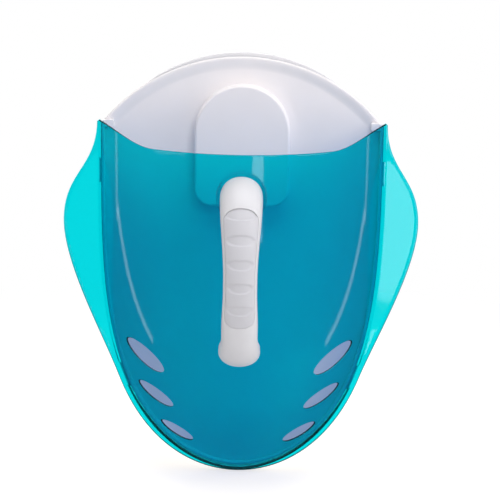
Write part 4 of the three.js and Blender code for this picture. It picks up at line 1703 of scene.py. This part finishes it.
@dataclass
class WallBracket:
    """The bracket with its hook, and the two foam strips that hold it on the wall."""

    offset: Vector
    top: float
    bottom: float
    half_width: float
    shelf_top: float
    hook_half: float
    hook_top: float
    hook_reach: float
    strips: dict[str, float]
    strip_thick: float = 0.0016
    strip_length: float = 0.110
    strip_width: float = 0.022
    strip_corner: float = 0.004
    plate: float = 0.003
    arch_radius: float = 0.138
    corner: float = 0.014
    corner_pull: float = 0.6
    corner_fall: float = 0.35
    edge_round: float = 0.0008
    tongue: float = 0.0032
    shelf: float = 0.006
    gusset: float = 0.006
    lead: float = 0.005
    lead_share: float = 0.75

    def plate_outline(self) -> np.ndarray:
        """Outline of the plate, arched at the top.

        Returns:
            Points (x, height).
        """
        centre = self.top - self.arch_radius
        half, corner = self.half_width, self.corner
        start = math.acos((half - corner) / self.arch_radius)
        crown = arc((0, centre), self.arch_radius, start, math.pi - start, CURVE_STEPS)
        side = centre + math.sqrt(self.arch_radius**2 - half**2)
        right = np.array([half, side - corner])
        pull, fall = self.corner_pull * corner, self.corner_fall * corner
        bend = bezier([right, right + (0, pull), crown[0] + (pull, -fall), crown[0]], 2 * ROUND_STEPS)
        foot = round_foot(half, self.bottom, corner)
        return np.concatenate([bend, crown[1:-1], bend[::-1] * (-1, 1), foot])

    def hook_outline(self) -> np.ndarray:
        """Side view of the hook, counterclockwise as (depth, height).

        Returns:
            Points of the shelf and the tongue that stands on it.
        """
        root = self.strip_thick + self.plate / 2
        front = self.hook_reach
        back = front - self.tongue
        bottom = self.shelf_top - self.shelf
        lead = arc((0, 0), 1, 0, math.pi / 2, 2 * ROUND_STEPS)
        slant = self.lead_share * self.tongue
        blunt = (1 - self.lead_share) * self.tongue
        nose = np.array([front - blunt, self.hook_top - self.tongue / 2])
        heel = np.array([back + slant, self.hook_top - self.lead])
        toe = np.array([front - self.shelf / 2, bottom + self.shelf / 2])
        return np.concatenate([
            [[root, bottom - self.gusset]],
            toe + lead[::-1] * (self.shelf / 2, -self.shelf / 2),
            nose + lead * (blunt, self.tongue / 2),
            heel + lead[:, ::-1] * (-slant, self.lead),
            [[back, self.shelf_top], [root, self.shelf_top]],
        ])

    def build(self) -> None:
        """Builds and dresses the bracket and its strips."""
        soft = self.edge_round
        profile = rounding(self.strip_thick, self.strip_thick + self.plate, soft, soft)
        bracket = tower(self.plate_outline(), profile).solid("bracket_moulding", self.offset)
        breadth = rounding(-self.hook_half, self.hook_half, soft, soft)
        hook = tower(self.hook_outline(), breadth, crosswise)
        carve(bracket, [(Carve.JOIN, hook.solid("hook", self.offset))])
        dress(bracket, SHADED_BRACKET_WHITE, Body.BRACKET, "wall_bracket")
        levels = [(out, share * self.strip_thick) for out, share in STRIP_BULGE]
        for place, height in self.strips.items():
            outline = rounded_rectangle((0, height), self.strip_length, self.strip_width,
                                        self.strip_corner)
            strip = tower(outline, levels).solid(f"strip_{place}", self.offset)
            dress(strip, FOAM, Body.BRACKET, f"adhesive_strip_{place}")


# The studio


@dataclass(frozen=True)
class Lamp:
    """A soft lamp that looks at the object, placed from the object's middle.

    One that lights nothing shows only as a sheen on polished plastic.
    """

    name: str
    place: tuple[float, float, float]
    width: float
    tall: float
    power: float
    roll: float = 0.0
    lights: bool = True

    def hang(self, aim: Vector) -> None:
        """Hangs the lamp where neither the camera nor a clear wall shows it.

        Args:
            aim: Middle of the object.
        """
        data = bpy.data.lights.new(self.name, "AREA")
        data.shape = "RECTANGLE"
        data.size, data.size_y = self.width, self.tall
        data.energy = self.power
        lamp = bpy.data.objects.new(self.name, data)
        bpy.context.scene.collection.objects.link(lamp)
        place, turn = Vector(self.place), Quaternion((0, 0, 1), math.radians(self.roll))
        lamp.location = aim + place
        lamp.rotation_mode = "QUATERNION"
        lamp.rotation_quaternion = place.to_track_quat("Z", "Y") @ turn
        lamp.visible_camera = lamp.visible_transmission = False
        lamp.visible_diffuse = self.lights


LAMPS = (
    Lamp("overhead", (0.0, -0.35, 1.5), 1.6, 1.2, 13.5),
    Lamp("front", (0.9, -2.1, 0.9), 1.2, 1.2, 15.5),
    Lamp("right_side", (1.6, -0.5, 0.5), 1.0, 1.0, 9.5),
    Lamp("left_side", (-1.6, -0.5, 0.4), 1.0, 1.0, 4.2),
    Lamp("back", (0.0, 2.0, 0.6), 1.2, 1.2, 15.0),
    Lamp("card", (0.215, -0.75, -0.13), 0.15, 0.44, 0.70, lights=False),
    *(strip for side in SIDES for strip in (
        Lamp(f"upper_strip_{side}", (side * 0.30, 0.142, 0.054), 0.012, 0.13, 0.006, lights=False),
        Lamp(f"lower_strip_{side}", (side * 0.30, 0.069, -0.086), 0.012, 0.235, 0.017,
             roll=-side * 36, lights=False),
    )),
)


@dataclass
class Studio:
    """White floor and surround, soft lamps and the camera."""

    floor_height: float
    aim: Vector = field(default_factory=lambda: Vector((0, -0.0449, -0.1493)))
    camera_distance: float = 1.670
    camera_elevation: float = 10.0
    camera_roll: float = 0.9
    field_of_view: float = 14.42
    sensor: float = 36.0
    clip: tuple[float, float] = (0.05, 200.0)
    frame_right: float = 0.0079
    frame_up: float = 0.0110
    floor_half: float = 40.0
    floor_colour: Colour = (0.88, 0.865, 0.845, 1)
    glow_colour: Colour = (1, 0.97, 0.92, 1)
    floor_glow: float = 0.42
    floor_lift: float = 1.64
    shadow_reach: tuple[float, float] = (0.25, 0.9)
    surround: float = 0.36
    room: float = 0.05
    backdrop: tuple[float, float] = (0.93, 0.99)
    backdrop_gleam: float = 0.4
    backdrop_through: tuple[float, float] = (0.86, 0.93)
    side_through: float = 0.36

    def floor(self) -> None:
        """Pale floor that stays white to the eye and keeps a soft shadow."""
        mesh = bpy.data.meshes.new("floor")
        half, height = self.floor_half, self.floor_height
        corners = [(-half, -half, 0), (half, -half, 0), (half, half, 0), (-half, half, 0)]
        mesh.from_pydata(corners, [], [[0, 1, 2, 3]])
        floor = bpy.data.objects.new("floor", mesh)
        floor.location = (0, self.aim.y, height)
        bpy.context.scene.collection.objects.link(floor)
        material = bpy.data.materials.new("pale_floor")
        board = NodeBoard(material)
        matt = board.node("ShaderNodeBsdfDiffuse", {"Color": self.floor_colour})
        shone = ((self.glow_colour, self.floor_lift), (PURE_WHITE, 1.0), (PURE_WHITE, self.room))
        glow, white, dim = (board.node("ShaderNodeEmission", {"Color": colour, "Strength": strength})
                            for colour, strength in shone)
        away = board.node("ShaderNodeVectorMath", {0: board.place()},
                          output="Value", operation="LENGTH")
        near = board.mix(board.seen() * self.floor_glow, matt, glow)
        both = board.mix(board.seen() * away.between(*self.shadow_reach), near, white)
        mirror = board.light_path("Is Glossy Ray") * (1 - board.light_path("Is Transmission Ray"))
        whole = board.mix(mirror, both, dim)
        board.node("ShaderNodeOutputMaterial", {"Surface": whole})
        mesh.materials.append(material)

    def world(self) -> None:
        """Even surround, white where it shows."""
        world = bpy.data.worlds.new("studio")
        bpy.context.scene.world = world
        board = NodeBoard(world)
        soft, dim, gleam, side, white = (
            board.node("ShaderNodeBackground", {"Color": PURE_WHITE, "Strength": strength})
            for strength in (self.surround, self.room, self.backdrop_gleam, self.side_through, 1.0))
        way = board.node("ShaderNodeTexCoord", {}, output="Generated")
        ahead = board.node("ShaderNodeSeparateXYZ", {0: way}, output="Y")
        mirror = board.mix(ahead.between(*self.backdrop), dim, gleam)
        unseen = board.mix(board.light_path("Is Glossy Ray"), soft, mirror)
        straight = ahead.between(*self.backdrop_through).larger(board.light_path("Is Camera Ray"))
        shown = board.mix(straight, side, white)
        both = board.mix(board.seen(), unseen, shown)
        board.node("ShaderNodeOutputWorld", {"Surface": both})

    def camera(self) -> None:
        """Camera at the photograph's viewing angle."""
        data = bpy.data.cameras.new("camera")
        data.sensor_width = self.sensor
        data.angle = math.radians(self.field_of_view)
        data.clip_start, data.clip_end = self.clip
        camera = bpy.data.objects.new("camera", data)
        bpy.context.scene.collection.objects.link(camera)
        tilt = math.radians(self.camera_elevation)
        back = Vector((0, -math.cos(tilt), math.sin(tilt)))
        up = Vector((0, math.sin(tilt), math.cos(tilt)))
        camera.location = self.aim + back * self.camera_distance
        target = self.aim + Vector((self.frame_right, 0, 0)) + up * self.frame_up
        look = (target - camera.location).to_track_quat("-Z", "Y")
        camera.rotation_mode = "QUATERNION"
        camera.rotation_quaternion = look @ Quaternion((0, 0, 1), math.radians(self.camera_roll))
        bpy.context.scene.camera = camera

    def build(self) -> None:
        """Sets up the studio."""
        bpy.context.scene.view_settings.view_transform = "Standard"
        self.floor()
        self.world()
        self.camera()
        for lamp in LAMPS:
            lamp.hang(self.aim)
        LOG.info("studio: floor, surround, lamps and camera")


@dataclass(frozen=True)
class Fit:
    """Distances that sub-assemblies share, drops being measured down from the pod's rim."""

    lip: float = 0.0025
    panel_clearance: float = 0.0004
    seat_gap: float = 0.0003
    pad_radii: tuple[float, float] = (0.0205, 0.013)
    pad_drops: tuple[float, float] = (0.0475, 0.1725)
    snap_drops: tuple[float, float] = (0.043, 0.221)
    catch_drop: float = 0.017
    hook_half: float = 0.024
    hook_grip: float = 0.030
    lift_over: float = 0.002
    lift_spare: float = 0.008


def main() -> None:
    """Builds the organizer's sub-assemblies in order."""
    logging.basicConfig(level=logging.INFO, format="%(message)s")
    fit = Fit()
    shell_low, shell_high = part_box("scoop_shell")
    bracket_low, bracket_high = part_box("wall_bracket")
    _, panel_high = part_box("back_panel")
    tip = shell_low.z + fit.lip
    offset = Vector((0, shell_high.y, tip))
    pod = Pod(height=shell_high.z - tip)
    snap = Snap(heights=tuple(pod.height - drop for drop in fit.snap_drops))
    seats = tuple(pod.seat(pod.height - drop, radius)
                  for drop, radius in zip(fit.pad_drops, fit.pad_radii))
    catch = pod.height - fit.catch_drop
    strips = {}
    for place in PLACES:
        strip_low, strip_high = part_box(f"adhesive_strip_{place}")
        strips[place] = (strip_low.z + strip_high.z) / 2 - tip
    bracket = WallBracket(
        offset=Vector((0, 0, tip)), top=bracket_high.z - tip, bottom=bracket_low.z - tip,
        half_width=bracket_high.x, shelf_top=catch - fit.seat_gap, hook_half=fit.hook_half,
        hook_top=catch + fit.hook_grip, hook_reach=-bracket_low.y, strips=strips)
    bracket.build()
    travel = fit.hook_grip + fit.lift_over + fit.lift_spare
    panel = BackPanel(
        pod=pod, offset=offset, snap=snap, inset=pod.wall + fit.panel_clearance,
        hook_half=bracket.hook_half, hook_top=bracket.hook_top, catch=catch,
        slot_bottom=bracket.shelf_top - bracket.shelf - travel,
        bumper_back=panel_high.y - shell_high.y)
    panel.build()
    shell = ScoopShell(pod=pod, offset=offset, wing_half=shell_high.x, snap=snap, seats=seats,
                       panel_edge=panel.edge_half, lip=fit.lip)
    shell.build()
    BowHandle(seats=seats, offset=offset, pad_rise=shell.pad_rise,
              screw_plane=shell.screw_plane).build()
    Studio(floor_height=shell_low.z).build()


if __name__ == "__main__":
    main()
